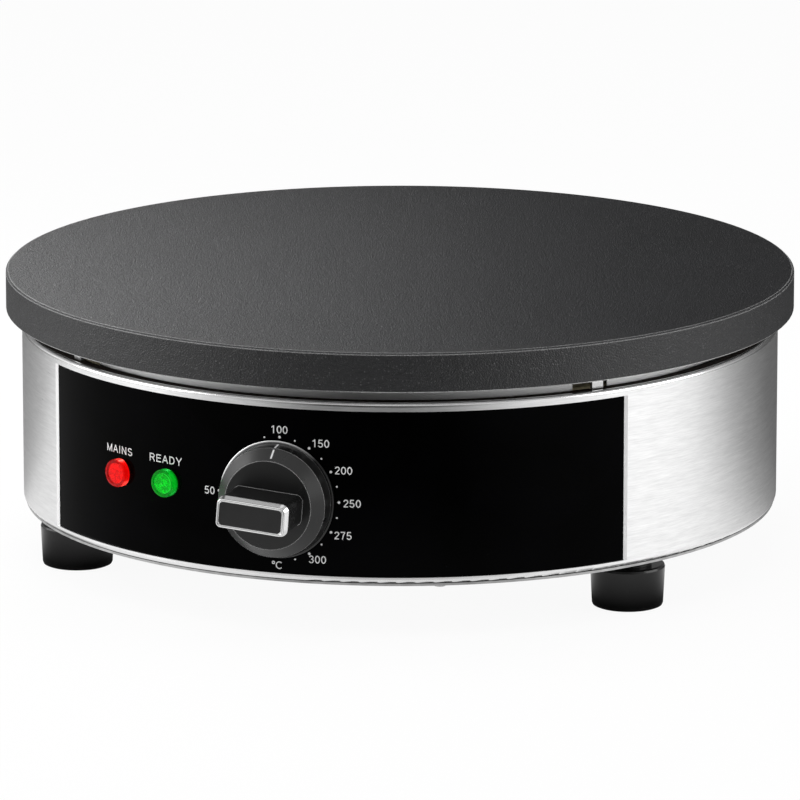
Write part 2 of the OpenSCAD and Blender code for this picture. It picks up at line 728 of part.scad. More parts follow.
// ---- control panel ----
module control_panel() placed() color("#0a0a0b") difference() {
    translate([0, 0, z_panel0]) linear_extrude(z_panel1 - z_panel0, $fn = 180)
        sector2d(panel_in_r, panel_r, panel_half);
    for (s = [-1, 1], z = panel_stud_zs)
        radial(s * panel_stud_az, z) translate([0, 0, panel_in_r - 4])
            cylinder(r = panel_stud_d / 2 + hole_fit, h = 10);
    for (az = [power_lamp_az, heat_lamp_az])
        radial(az, z_lamp) translate([0, 0, panel_in_r - 3]) cylinder(r = lamp_d / 2 + hole_fit, h = 10);
    radial(knob_az, z_knob) translate([0, 0, panel_in_r - 3]) {
        cylinder(r = bush_d / 2 + hole_fit, h = 10);
        for (x = [-1, 1]) translate([x * thermo_screw_span / 2, 0, 0])
            cylinder(r = thermo_screw_d / 2 + hole_fit, h = 10);
    }
}

module panel_nuts() placed() color("#c8cacc") for (s = [-1, 1], z = panel_stud_zs)
    radial(s * panel_stud_az, z) translate([0, 0, panel_in_r - seat - panel_nut_h])
        hex_nut(panel_stud_d);

// ---- base plate and feet ----
vent_angle = 40;
vent_r0 = 50;
vent_step = 20;
module base_plate() placed() color("#b4b7ba") difference() {
    step_r = flange_in_r - 6;
    rotate_extrude($fn = 180) polygon([
        [0, z_base + dome_h], [step_r - 4, z_base + dome_h], [step_r, z_base], [base_r, z_base],
        [base_r, z_drum], [step_r - 1, z_drum], [step_r - 5, z_dome], [0, z_dome]]);
    for (row = [0:vent_rows - 1], k = [-2:2])
        rotate([0, 0, k * 60 - 90 - vent_angle / 2]) translate([0, 0, z_base])
            rotate_extrude(angle = vent_angle, $fn = 120)
                translate([vent_r0 + row * vent_step, 0]) square([vent_w, dome_h + 5]);
    for (az = leg_azs) at(az, leg_screw_r, z_base - 1)
        cylinder(r = leg_screw_d / 2 + hole_fit, h = base_t + 2);
    for (az = foot_azs) at(az, foot_r, z_base - 1)
        cylinder(r = foot_screw_d / 2 + hole_fit, h = base_t + 2);
    for (az = base_screw_azs) at(az, base_screw_r, z_base - 1)
        cylinder(r = base_screw_d / 2 + hole_fit, h = base_t + 2);
    for (s = [-1, 1]) translate([block_x + s * block_screw_x, block_y, z_base])
        cylinder(r = small_d / 2 + thread_fit, h = dome_h + 5);
    translate([earth_x, block_y, z_base]) cylinder(r = earth_r + hole_fit, h = dome_h + 5);
}

module base_screws() placed() color("#c8cacc") for (az = base_screw_azs)
    at(az, base_screw_r, z_base) pan_screw(base_screw_d, base_t + drum_sheet + base_screw_d);

module base_nuts() placed() color("#c8cacc") for (az = base_screw_azs)
    at(az, base_screw_r, z_floor) hex_nut(base_screw_d);

module machine_foot(az) placed() color("#161616") difference() {
    foot_top = stand_h - foot_neck_h;
    at(az, foot_r) rotate_extrude() polygon([
        [0, 0], [foot_low_d / 2 - foot_edge, 0], [foot_low_d / 2 - foot_edge * 0.3, foot_edge * 0.3],
        [foot_low_d / 2, foot_edge], [foot_d / 2, foot_top - foot_edge],
        [foot_d / 2 - foot_edge * 0.3, foot_top - foot_edge * 0.3], [foot_d / 2 - foot_edge, foot_top],
        [foot_neck_d / 2, foot_top], [foot_neck_d / 2, stand_h], [0, stand_h]]);
    at(az, foot_r, -1) cylinder(r = foot_screw_d * 1.2, h = foot_seat + 1);
    at(az, foot_r, -1) cylinder(r = foot_screw_d / 2 + hole_fit, h = stand_h + 2);
}
module foot_left() machine_foot(foot_azs[0]);
module foot_right() machine_foot(foot_azs[1]);
module foot_rear() machine_foot(foot_azs[2]);

module foot_screws() placed() color("#c8cacc") for (az = foot_azs) at(az, foot_r, foot_seat)
    pan_screw(foot_screw_d, z_floor + foot_screw_d - foot_seat);

module foot_nuts() placed() color("#c8cacc") for (az = foot_azs) at(az, foot_r, z_floor)
    hex_nut(foot_screw_d);

// ---- dial knob ----
// The bezel's back follows the curved panel.
module knob_bezel() placed() color("#2a2a2c") difference() {
    radial(knob_az, z_knob) difference() {
        rotate_extrude() translate([0, panel_r - 4]) polygon([
            [0, 0], [bezel_d / 2, 0],
            [bezel_d / 2, 3.6 + bezel_proud], [bezel_d / 2 - 0.4, 4 + bezel_proud],
            [bezel_d / 2 - bezel_ring_w, 4 + bezel_proud],
            [bezel_d / 2 - bezel_ring_w, 4 + k_floor - panel_r], [0, 4 + k_floor - panel_r]]);
        translate([0, 0, panel_r - 5]) cylinder(r = bush_d / 2 + hole_fit, h = 12);
        for (x = [-1, 1]) translate([x * thermo_screw_span / 2, 0, panel_r - 5])
            cylinder(r = thermo_screw_d / 2 + hole_fit, h = 12);
    }
    translate([0, 0, z_drum]) cylinder(r = panel_r + seat / 2, h = drum_h, $fn = 720);
}

module knob_body() placed() color("#1d1d1e") knob_frame() difference() {
    union() {
        rotate_extrude() polygon([
            [skirt_d / 2 - knob_wall, k_back], [skirt_d / 2, k_back], [skirt_front_d / 2, k_skirt],
            [face_d / 2, k_face], [0, k_face], [0, k_hub], [hub_r, k_hub], [hub_r, k_face - knob_wall],
            [face_d / 2 - knob_wall * 0.8, k_face - knob_wall],
            [skirt_front_d / 2 - knob_wall, k_skirt - knob_wall * 0.4]]);
        translate([0, 0, k_face - 1]) linear_extrude(grip_h + 1) rounded2d(grip_l, grip_t, grip_r);
    }
    translate([0, 0, k_hub - 1]) linear_extrude(k_shaft_end + seat - k_hub + 1)
        shaft_outline(thread_fit);
}

// Round shaft with one flat.
module shaft_outline(slack) difference() {
    circle(r = shaft_d / 2 + slack);
    translate([-shaft_d, shaft_d / 2 - shaft_flat + slack]) square(shaft_d * 2);
}

module knob_trim() placed() color("#e6e8ea") knob_frame() difference() {
    hull() {
        translate([0, 0, k_grip]) linear_extrude(trim_lip) rounded2d(trim_l, trim_t, trim_r, $fn = 32);
        translate([0, 0, k_front - 0.2]) linear_extrude(0.2)
            rounded2d(front_l, front_t, front_r, $fn = 32);
    }
    translate([0, 0, k_grip - 1]) linear_extrude(k_front - k_grip + 2)
        rounded2d(insert_l, insert_t, insert_r, $fn = 32);
}

module knob_insert() placed() color("#101011") knob_frame()
    translate([0, 0, k_grip]) linear_extrude(k_front - insert_sink - k_grip)
        rounded2d(insert_l - 2 * seat, insert_t - 2 * seat, insert_r - seat);

// ---- thermostat ----
module thermostat_shaft() placed() color("#c8cacc") knob_frame() {
    translate([0, 0, k_thermo - 8]) cylinder(r = shaft_d / 2, h = k_hub - k_thermo + 8);
    translate([0, 0, k_hub - 0.5]) linear_extrude(k_shaft_end - k_hub + 0.5) shaft_outline(0);
}

module thermostat_saddle() placed() color("#a9acb0") difference() {
    radial(knob_az, z_knob) difference() {
        translate([-(thermo_w + 10) / 2, -(thermo_h + 6) / 2, k_saddle])
            cube([thermo_w + 10, thermo_h + 6, saddle_t]);
        translate([0, 0, k_saddle - 1]) {
            cylinder(r = bush_d / 2 + hole_fit, h = saddle_t + 2);
            for (x = [-1, 1]) translate([x * thermo_screw_span / 2, 0, 0])
                cylinder(r = thermo_screw_d / 2 + hole_fit, h = saddle_t + 2);
        }
    }
    translate([0, 0, z_drum]) linear_extrude(drum_h, $fn = 720) difference() {
        circle(r = drum_r);
        circle(r = panel_in_r - seat);
    }
}

blade_w = 6.3;
blade_t = 0.8;
blade_l = 9;
thermo_blade = [9, 10];
module thermostat_body() placed() color("#3a3a3c") radial(knob_az, z_knob) difference() {
    union() {
        translate([-thermo_w / 2, -thermo_h / 2, k_thermo_back]) cube([thermo_w, thermo_h, thermo_depth]);
        translate([0, 0, k_thermo - 1]) cylinder(r = bush_d / 2, h = k_bush_end - k_thermo + 1);
        for (x = [-1, 1], y = [-1, 1])
            translate([x * thermo_blade[0] - blade_w / 2, y * thermo_blade[1] - blade_t / 2 - 6,
                k_thermo_back - blade_l]) cube([blade_w, blade_t, blade_l + 1]);
    }
    translate([0, 0, k_thermo - 8.5]) cylinder(r = shaft_d / 2 + run_fit, h = k_bush_end - k_thermo + 10);
    for (x = [-1, 1]) translate([x * thermo_screw_span / 2, 0, k_thermo - thermo_bite - 1])
        cylinder(r = thermo_screw_d / 2 + thread_fit, h = thermo_bite + 2);
}

// Two screws clamp bezel, panel and saddle against the thermostat.
module thermostat_screws() placed() color("#c8cacc") radial(knob_az, z_knob)
    for (x = [-1, 1]) translate([x * thermo_screw_span / 2, 0, k_floor])
        mirror([0, 0, 1]) pan_screw(thermo_screw_d, k_floor - k_thermo + thermo_bite);

// ---- lamps ----
lens_face = 1.6;
lamp_pin = 2.6;
lamp_nut_flats = 1.4;
lamp_nut_tall = 0.35;
module lamp_lens(az, tint) placed() color(tint) radial(az, z_lamp)
    translate([0, 0, panel_r + seat]) rotate_extrude() polygon([
        [lamp_d / 2 + seat, 0], [lens_d / 2, 0], [lens_d / 2, lens_h * 0.72],
        [lens_d / 2 - 0.5, lens_h * 0.94], [lens_d / 2 - 1.1, lens_h - seat],
        [lens_d / 2 - 1.7, lens_h - seat], [lens_d / 2 - 1.9, lens_h - seat - 0.4],
        [0, lens_h - seat - 0.2], [0, lens_h - lens_face], [lamp_d / 2 + seat, lens_h - lens_face]]);

module lamp_body(az) placed() color("#e9e6dd") radial(az, z_lamp) {
    translate([0, 0, panel_in_r - lamp_l])
        cylinder(r = lamp_d / 2, h = lamp_l + panel_t + lens_h - lens_face - seat);
    for (x = [-1, 1]) translate([x * lamp_pin - 0.4, -2, panel_in_r - lamp_l - blade_l])
        cube([0.8, 4, blade_l + 1]);
}

module power_lamp_lens() lamp_lens(power_lamp_az, "#d8201c");
module power_lamp_body() lamp_body(power_lamp_az);
module heat_lamp_lens() lamp_lens(heat_lamp_az, "#18a03a");
module heat_lamp_body() lamp_body(heat_lamp_az);

module lamp_nuts() placed() color("#1d1d1e") for (az = [power_lamp_az, heat_lamp_az])
    radial(az, z_lamp) translate([0, 0, panel_in_r - 2 * seat - lamp_nut_tall * lamp_d])
        hex_nut(lamp_d, lamp_nut_flats, lamp_nut_tall);

// ---- thermal cut-out ----
module thermal_cutout() placed() color("#e4ddcf") translate([cutout_x, cutout_y, z_pan]) difference() {
    union() {
        translate([0, 0, -cutout_h - seat]) cylinder(r = cutout_r, h = cutout_h);
        translate([-cutout_ear - 5, -5, -cutout_plate_t - seat])
            cube([2 * cutout_ear + 10, 10, cutout_plate_t]);
        for (y = [-1, 1]) translate([-blade_w / 2, y * cutout_blade - blade_t / 2,
            -cutout_h - seat - blade_l])
            cube([blade_w, blade_t, blade_l + 1]);
    }
    for (x = [-1, 1]) translate([x * cutout_ear, 0, -cutout_h])
        cylinder(r = small_d / 2 + hole_fit, h = cutout_h + 1);
}

module cutout_screws() placed() color("#c8cacc") for (x = [-1, 1])
    translate([cutout_x + x * cutout_ear, cutout_y, z_pan - seat - cutout_plate_t])
        pan_screw(small_d, 2 * small_d);

// ---- terminal block and earth ----
module terminal_block() placed() color("#efeadf") translate([block_x, block_y, z_dome]) difference() {
    union() {
        translate([-block_l / 2, -block_w / 2, 0]) cube([block_l, block_w, block_h * 0.5]);
        translate([-1.5 * pole_pitch + 1, -block_w / 2, 0]) cube([3 * pole_pitch - 2, block_w, block_h]);
    }
    for (k = [-1:1]) {
        translate([k * pole_pitch, 0, pole_up]) rotate([90, 0, 0])
            cylinder(r = 2.4, h = block_w + 2, center = true);
        for (y = [-1, 1]) translate([k * pole_pitch, y * 5, pole_up]) cylinder(r = 1.8, h = block_h);
    }
    for (s = [-1, 1]) translate([s * block_screw_x, 0, -1])
        cylinder(r = small_d / 2 + hole_fit, h = block_h);
}

module terminal_screws() placed() color("#c8cacc") for (s = [-1, 1])
    translate([block_x + s * block_screw_x, block_y, z_dome + block_h * 0.5])
        mirror([0, 0, 1]) pan_screw(small_d, block_h * 0.5 + base_t + 1);

module earth_stud() placed() color("#c9a24a") translate([earth_x, block_y, 0]) {
    translate([0, 0, z_base + dome_h - 2]) pan_screw(earth_r * 2, earth_l);
    for (z = [0, 6]) translate([0, 0, z_dome + z]) hex_nut(earth_r * 2, fit = -0.2);
}

// ---- cable gland in the rear wall ----
module gland_frame() radial(180, z_gland) translate([0, 0, drum_r]) children();

module gland_body() placed() color("#141414") gland_frame() difference() {
    union() {
        translate([0, 0, -gland_in]) cylinder(r = gland_d / 2, h = gland_in + gland_thread_out);
        translate([0, 0, seat]) cylinder(r = gland_d / 2 + 4.4, h = gland_flange, $fn = 6);
    }
    translate([0, 0, -gland_in - 1]) cylinder(r = cord_d / 2 + 0.4, h = gland_out + gland_in);
    translate([0, 0, gland_thread_out - gland_seal_l]) cylinder(r = seal_r, h = gland_seal_l + 1);
}

module gland_seal() placed() color("#4a4a4c") gland_frame()
    translate([0, 0, gland_thread_out - gland_seal_l]) difference() {
        translate([0, 0, seat]) cylinder(r = seal_r - seat, h = gland_seal_l);
        translate([0, 0, -1]) cylinder(r = cord_d / 2, h = gland_seal_l + 4);
    }

module gland_nut() placed() color("#141414") gland_frame() difference() {
    intersection() {
        translate([0, 0, gland_flange + 2 * seat])
            cylinder(r = gland_d / 2 + 3.6, h = gland_out - gland_flange - 2 * seat, $fn = 6);
        rotate_extrude() polygon([[0, 0], [gland_d / 2 + 4, 0], [gland_d / 2 + 4, gland_out - 6],
            [gland_d / 2, gland_out], [0, gland_out]]);
    }
    translate([0, 0, gland_flange - 1])
        cylinder(r = gland_d / 2 + thread_fit, h = gland_thread_out - gland_flange + 1.5);
    cylinder(r = cord_d / 2 + 1, h = gland_out + 1);
}

module gland_locknut() placed() color("#141414") gland_frame()
    translate([0, 0, -drum_sheet - 0.6 - locknut_tall * gland_d])
        hex_nut(gland_d, locknut_flats, locknut_tall);

// ---- internal leads ----
lead_gap = 0.3;
lead_out = 12;
lead_run = 26;
lead_sweep = 30;
lead_side = 20;
lead_drop = 8;
lead_bow = 10;
lead_gather = 52;
lamp_lead_fan = 4;
lamp_lead_turn = 14;
pole_y = block_y - block_w / 2 - lead_gap;
pole_z = z_dome + pole_up;
run_z = z_dome + lead_drop;
cutout_tip = z_pan - cutout_h - seat - blade_l - lead_gap;
// A point behind one of the thermostat's four blades.
function blade_end(sx, sy, out) =
    let (p = polar(k_thermo_back - blade_l - lead_gap - out, knob_az), x = sx * thermo_blade[0])
    [p[0] + x * cos(knob_az), p[1] + x * sin(knob_az), z_knob + sy * thermo_blade[1] - 6];
// A point in front of the links' inner ends.
function link_end(s, out) =
    [s * ring_gap / 2, cold_end(ring_rs[0], 1)[1] - link_w / 2 - lead_gap - out, z_link - link_t / 2];

module line_leads() placed() color("#7a4a24") {
    swept([[block_x - pole_pitch, pole_y, pole_z], [block_x - pole_pitch, pole_y - lead_run, pole_z],
        [cutout_x + cutout_r, -cutout_y, run_z], [cutout_x + cutout_r, lead_gather - k_thermo_back, run_z],
        blade_end(-1, -1, lead_sweep) - [0, 0, lead_drop], blade_end(-1, -1, lead_out),
        blade_end(-1, -1, 0)], lead_d);
    swept([blade_end(-1, 1, 0), blade_end(-1, 1, lead_out),
        blade_end(-1, 1, lead_sweep + lead_bow) - [lead_side, 0, lead_drop],
        [cutout_x, cutout_y - lead_sweep, cutout_tip - lead_bow],
        [cutout_x, cutout_y - cutout_blade, cutout_tip - lead_bow],
        [cutout_x, cutout_y - cutout_blade, cutout_tip]], lead_d, 5);
    swept([[cutout_x, cutout_y + cutout_blade, cutout_tip],
        [cutout_x, cutout_y + cutout_blade, cutout_tip - lead_bow],
        [cutout_x, cutout_y + lead_sweep + lead_bow, cutout_tip - lead_bow],
        [-ring_gap / 2 - lead_out, lead_side, z_link - lead_out],
        link_end(-1, lead_out), link_end(-1, 0)], lead_d, 4);
}

module neutral_leads() placed() color("#2f5f9e")
    swept([[block_x, pole_y, pole_z], [block_x, pole_y - lead_out, pole_z],
        [block_x + lead_bow, pole_y - lead_sweep, pole_z + lead_drop],
        [ring_gap / 2, lead_run, z_link - lead_side], link_end(1, lead_out), link_end(1, 0)], lead_d, 4);

module earth_lead() placed() color("#7f9a2f")
    swept([[block_x + pole_pitch, pole_y, pole_z], [block_x + pole_pitch, pole_y - lead_out, pole_z],
        [earth_x, pole_y - lead_out, pole_z], [earth_x, block_y - earth_r * 2 - lead_gap, z_dome + 5]],
        lead_d, 5);

// The two leads of a lamp turn down behind it and end at the run along the base.
module lamp_leads() placed() color("#e8e8e4") for (az = [power_lamp_az, heat_lamp_az], x = [-1, 1]) {
    tip = panel_in_r - lamp_l - blade_l;
    radial(az, z_lamp) swept([[x * lamp_pin, 0, tip - lead_gap], [x * lamp_pin, 0, tip - lead_drop],
        [x * lamp_lead_fan, -lamp_lead_turn, tip - lead_drop],
        [x * lamp_lead_fan, run_z - z_lamp + lamp_lead_fan, tip - lead_drop]], lead_d * 0.6, 3);
}

crepe_plate();
heater_inner();
heater_middle();
heater_outer();
heater_studs();
heater_bars();
heater_nuts();
heater_links();
heater_link_nuts();
insulation_blanket();
heater_pan();
pan_nuts();
leg_front_left();
leg_front_right();
leg_rear_left();
leg_rear_right();
leg_top_screws();
leg_base_screws();
leg_base_nuts();
thermostat_bulb();
capillary_tube();
bulb_clip();
bulb_clip_screws();
drum_body();
control_panel();
panel_nuts();
base_plate();
base_screws();
base_nuts();
foot_left();
foot_right();
foot_rear();
foot_screws();
foot_nuts();
knob_bezel();
knob_body();
knob_trim();
knob_insert();
thermostat_shaft();
thermostat_saddle();
thermostat_body();
thermostat_screws();
power_lamp_lens();
power_lamp_body();
heat_lamp_lens();
heat_lamp_body();
lamp_nuts();
thermal_cutout();
cutout_screws();
terminal_block();
terminal_screws();
earth_stud();
gland_body();
gland_seal();
gland_nut();
gland_locknut();
line_leads();
neutral_leads();
earth_lead();
lamp_leads();
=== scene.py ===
import json
from math import atan2, cos, hypot, pi, radians, sin

import bmesh
import bpy
from mathutils import Matrix, Vector


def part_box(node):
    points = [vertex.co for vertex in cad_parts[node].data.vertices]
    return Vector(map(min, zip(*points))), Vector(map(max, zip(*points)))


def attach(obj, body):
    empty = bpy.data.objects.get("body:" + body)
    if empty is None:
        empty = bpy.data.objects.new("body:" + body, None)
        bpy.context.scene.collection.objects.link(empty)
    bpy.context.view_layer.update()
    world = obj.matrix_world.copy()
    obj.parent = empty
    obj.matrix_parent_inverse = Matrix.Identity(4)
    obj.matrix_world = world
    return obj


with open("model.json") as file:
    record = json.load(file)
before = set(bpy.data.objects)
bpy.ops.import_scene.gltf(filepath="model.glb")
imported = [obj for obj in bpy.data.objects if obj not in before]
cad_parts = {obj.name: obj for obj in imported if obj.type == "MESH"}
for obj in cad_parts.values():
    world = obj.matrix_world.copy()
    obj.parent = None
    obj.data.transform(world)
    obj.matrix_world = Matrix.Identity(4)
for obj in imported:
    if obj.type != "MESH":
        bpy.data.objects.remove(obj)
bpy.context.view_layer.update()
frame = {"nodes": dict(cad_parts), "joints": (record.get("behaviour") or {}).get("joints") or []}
MM = 0.001


# ---- what the frame says ----
def middle(node):
    low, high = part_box(node)
    return (low + high) / 2


DRUM_LOW, DRUM_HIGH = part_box("drum_body")
PLATE_LOW, PLATE_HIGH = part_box("crepe_plate")
PAN_LOW, PAN_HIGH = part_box("heater_pan")
RED_LAMP = middle("power_lamp_body")
GREEN_LAMP = middle("heat_lamp_body")
CENTRE = middle("drum_body")
CENTRE.z = 0
DRUM_R = (DRUM_HIGH.x - DRUM_LOW.x) / 2
PLATE_R = (PLATE_HIGH.x - PLATE_LOW.x) / 2
PAN_R = (PAN_HIGH.x - PAN_LOW.x) / 2


def from_axis(point):
    return hypot(point[0] - CENTRE.x, point[1] - CENTRE.y)


def azimuth(point):
    return atan2(point.x - CENTRE.x, CENTRE.y - point.y)


PANEL_R = max(from_axis(v.co) for v in frame["nodes"]["control_panel"].data.vertices)
TURN = next(j for j in frame["joints"] if j["name"] == "knob_turn")
KNOB = Vector(TURN["pos_m"])
KNOB_AZ = azimuth(KNOB)

# The drum's rolled edges, its strips of steel under and over the window, and the window's sides.
DRUM_BEND = 2 * MM
STRIP_LOW = 3.1 * MM
STRIP_TOP = 4.3 * MM
WINDOW_HALF = radians(48.95)
WINDOW_EDGE = 0.8 * MM / DRUM_R
SEAM_HALF = 0.5 * MM / DRUM_R

# Painted shade on the pan ends just under the middle of what a look over the rim shows of its wall.
LOOK_DOWN = 0.236
PAN_SHADE_DROP = 1 * MM
PAN_SHADE_TOP = (DRUM_HIGH.z + PLATE_LOW.z) / 2 - LOOK_DOWN * ((DRUM_R + PLATE_R) / 2 - PAN_R) - PAN_SHADE_DROP


def outward(az, z, turn=0.0):
    """Frame on the drum's axis: local Z points out at an azimuth, local Y up."""
    side = Vector((cos(az), sin(az), 0))
    out = Vector((sin(az), -cos(az), 0))
    basis = Matrix((side, Vector((0, 0, 1)), out)).transposed().to_4x4()
    place = Matrix.Translation(CENTRE + Vector((0, 0, z)))
    return place @ basis @ Matrix.Rotation(-turn, 4, "Z")


# ---- node helpers ----
def add(tree, kind, inputs=None, **settings):
    made = tree.nodes.new(kind)
    for key, value in settings.items():
        setattr(made, key, value)
    for key, value in (inputs or {}).items():
        if isinstance(value, bpy.types.NodeSocket):
            tree.links.new(value, made.inputs[key])
        else:
            made.inputs[key].default_value = value
    return made


def calc(tree, operation, a, b=0.0, c=0.0, clamp=False):
    node = add(tree, "ShaderNodeMath", {0: a, 1: b, 2: c}, operation=operation)
    node.use_clamp = clamp
    return node.outputs[0]


def spread(tree, value, low, high, to_low=0.0, to_high=1.0):
    inputs = {0: value, 1: low, 2: high, 3: to_low, 4: to_high}
    return add(tree, "ShaderNodeMapRange", inputs).outputs[0]


def blend(tree, factor, a, b):
    return add(tree, "ShaderNodeMix", {0: factor, 6: a, 7: b}, data_type="RGBA").outputs[2]


def shade(red, green, blue):
    """Linear colour from the 0 to 255 values of a swatch."""
    def linear(part):
        part /= 255
        return part / 12.92 if part <= 0.04045 else ((part + 0.055) / 1.055) ** 2.4
    return (linear(red), linear(green), linear(blue), 1.0)


def grey(value):
    return shade(value, value, value)


def effect(name, inputs, outputs):
    """Empty shader node group with named sockets."""
    group = bpy.data.node_groups.new(name, "ShaderNodeTree")
    for label, kind, value in inputs:
        socket = group.interface.new_socket(name=label, in_out="INPUT", socket_type=kind)
        socket.default_value = value
    for label in outputs:
        kind = "NodeSocketVector" if label == "Normal" else "NodeSocketFloat"
        group.interface.new_socket(name=label, in_out="OUTPUT", socket_type=kind)
    return group, group.nodes.new("NodeGroupInput").outputs, group.nodes.new("NodeGroupOutput")


def send(group, exit_node, label, value):
    group.links.new(value, exit_node.inputs[label])


def vector(tree, operation, a, b):
    """Vector that two vectors give."""
    return add(tree, "ShaderNodeVectorMath", {0: a, 1: b}, operation=operation).outputs[0]


def measure(tree, operation, a, b=(0, 0, 0)):
    """Number that two vectors give: dot product, distance, or the length of the first."""
    return add(tree, "ShaderNodeVectorMath", {0: a, 1: b}, operation=operation).outputs["Value"]


def from_centre(group, given):
    """Place of a point as seen from the Centre input."""
    place = add(group, "ShaderNodeTexCoord").outputs["Object"]
    return vector(group, "SUBTRACT", place, given["Centre"])


def bearing(tree, parts):
    """Angle round the upright axis, 0 at the front."""
    return calc(tree, "ARCTAN2", parts[0], calc(tree, "MULTIPLY", parts[1], -1.0))


# ---- shared effects ----
def build_grain():
    """Cast or moulded skin: relief, tone and scattered bright specks."""
    sockets = [("Size", "NodeSocketFloat", MM)]
    group, given, done = effect("fine_grain", sockets, ["Height", "Tone", "Speck"])
    place = add(group, "ShaderNodeTexCoord").outputs["Object"]
    scale = calc(group, "DIVIDE", 1.0, given["Size"])
    coarse = add(group, "ShaderNodeTexNoise", {"Vector": place, "Scale": scale, "Detail": 3.0})
    cells = add(group, "ShaderNodeTexVoronoi", {"Vector": place, "Scale": scale}, feature="SMOOTH_F1")
    height = calc(group, "MULTIPLY_ADD", cells.outputs["Distance"], -0.6, coarse.outputs[0])
    send(group, done, "Height", spread(group, height, -0.1, 0.6))
    send(group, done, "Tone", spread(group, coarse.outputs[0], 0.3, 0.7))
    flecks = add(group, "ShaderNodeTexVoronoi", {"Vector": place, "Scale": scale})
    chance = add(group, "ShaderNodeSeparateColor", {0: flecks.outputs["Color"]}).outputs[0]
    lit = spread(group, chance, 0.8, 1.0)
    core = spread(group, flecks.outputs["Distance"], 0.5, 0.15)
    send(group, done, "Speck", calc(group, "MULTIPLY", lit, core))
    return group


def build_brushing():
    """Hairlines that run round an upright axis, over slower streaks."""
    sockets = [("Centre", "NodeSocketVector", CENTRE), ("Length", "NodeSocketFloat", 0.05),
               ("Width", "NodeSocketFloat", 0.0003)]
    group, given, done = effect("round_brushing", sockets, ["Height", "Tone"])
    parts = add(group, "ShaderNodeSeparateXYZ", {0: from_centre(group, given)}).outputs
    angle = bearing(group, parts)
    squares = calc(group, "MULTIPLY_ADD", parts[0], parts[0], calc(group, "MULTIPLY", parts[1], parts[1]))
    radius = calc(group, "SQRT", squares)
    along = calc(group, "DIVIDE", calc(group, "MULTIPLY", angle, radius), given["Length"])
    up = calc(group, "DIVIDE", parts[2], given["Width"])
    out = calc(group, "DIVIDE", radius, given["Width"])
    spot = add(group, "ShaderNodeCombineXYZ", {0: along, 1: up, 2: out}).outputs[0]
    fine = add(group, "ShaderNodeTexNoise", {"Vector": spot, "Scale": 1.0, "Detail": 2.0})
    broad = add(group, "ShaderNodeTexNoise", {"Vector": spot, "Scale": 0.23, "Detail": 2.0})
    send(group, done, "Height", fine.outputs[0])
    tone = calc(group, "MULTIPLY", fine.outputs[0], 0.6)
    tone = calc(group, "MULTIPLY_ADD", broad.outputs[0], 0.4, tone)
    send(group, done, "Tone", spread(group, tone, 0.3, 0.7))
    return group


def build_wear():
    """1 on edges that stand proud, where a finish rubs away and where a painted highlight is laid along the
    edge.
    """
    group, given, done = effect("edge_wear_and_sheen", [("Radius", "NodeSocketFloat", 0.0006)], ["Mask"])
    soft = add(group, "ShaderNodeBevel", {"Radius": given["Radius"]}, samples=4).outputs[0]
    own = add(group, "ShaderNodeNewGeometry").outputs["Normal"]
    bend = calc(group, "SUBTRACT", 1.0, measure(group, "DOT_PRODUCT", soft, own))
    send(group, done, "Mask", spread(group, bend, 0.004, 0.08))
    return group


def build_handling():
    """Slow patches that a cloth and fingers leave."""
    group, given, done = effect("handling", [("Size", "NodeSocketFloat", 0.04)], ["Value"])
    place = add(group, "ShaderNodeTexCoord").outputs["Object"]
    scale = calc(group, "DIVIDE", 1.0, given["Size"])
    patches = add(group, "ShaderNodeTexNoise",
                  {"Vector": place, "Scale": scale, "Detail": 4.0, "Distortion": 0.6})
    send(group, done, "Value", spread(group, patches.outputs[0], 0.35, 0.65))
    return group


def build_band():
    """1 between two heights."""
    sockets = [("Low", "NodeSocketFloat", 0.0), ("High", "NodeSocketFloat", 1.0),
               ("Soft", "NodeSocketFloat", 0.0001)]
    group, given, done = effect("height_band", sockets, ["Mask"])
    place = add(group, "ShaderNodeTexCoord").outputs["Object"]
    z = add(group, "ShaderNodeSeparateXYZ", {0: place}).outputs[2]
    over = calc(group, "DIVIDE", calc(group, "SUBTRACT", z, given["Low"]), given["Soft"], clamp=True)
    under = calc(group, "DIVIDE", calc(group, "SUBTRACT", given["High"], z), given["Soft"], clamp=True)
    send(group, done, "Mask", calc(group, "MULTIPLY", over, under))
    return group


def build_upright_edge():
    """1 near two upright edges that stand at the same angle left and right of the front."""
    sockets = [("Centre", "NodeSocketVector", CENTRE), ("Angle", "NodeSocketFloat", 0.8),
               ("Half Width", "NodeSocketFloat", 0.005)]
    group, given, done = effect("upright_edge", sockets, ["Mask"])
    parts = add(group, "ShaderNodeSeparateXYZ", {0: from_centre(group, given)}).outputs
    angle = bearing(group, parts)
    off = calc(group, "ABSOLUTE", calc(group, "SUBTRACT", calc(group, "ABSOLUTE", angle), given["Angle"]))
    fade = calc(group, "MULTIPLY", given["Half Width"], 1.1)
    send(group, done, "Mask", spread(group, off, fade, given["Half Width"]))
    return group


def build_inside():
    """1 inside a radius round the upright axis."""
    sockets = [("Centre", "NodeSocketVector", CENTRE), ("Radius", "NodeSocketFloat", 0.1),
               ("Soft", "NodeSocketFloat", 0.0001)]
    group, given, done = effect("inside_radius", sockets, ["Mask"])
    level = vector(group, "MULTIPLY", from_centre(group, given), (1, 1, 0))
    depth = calc(group, "SUBTRACT", given["Radius"], measure(group, "LENGTH", level))
    send(group, done, "Mask", calc(group, "DIVIDE", depth, given["Soft"], clamp=True))
    return group


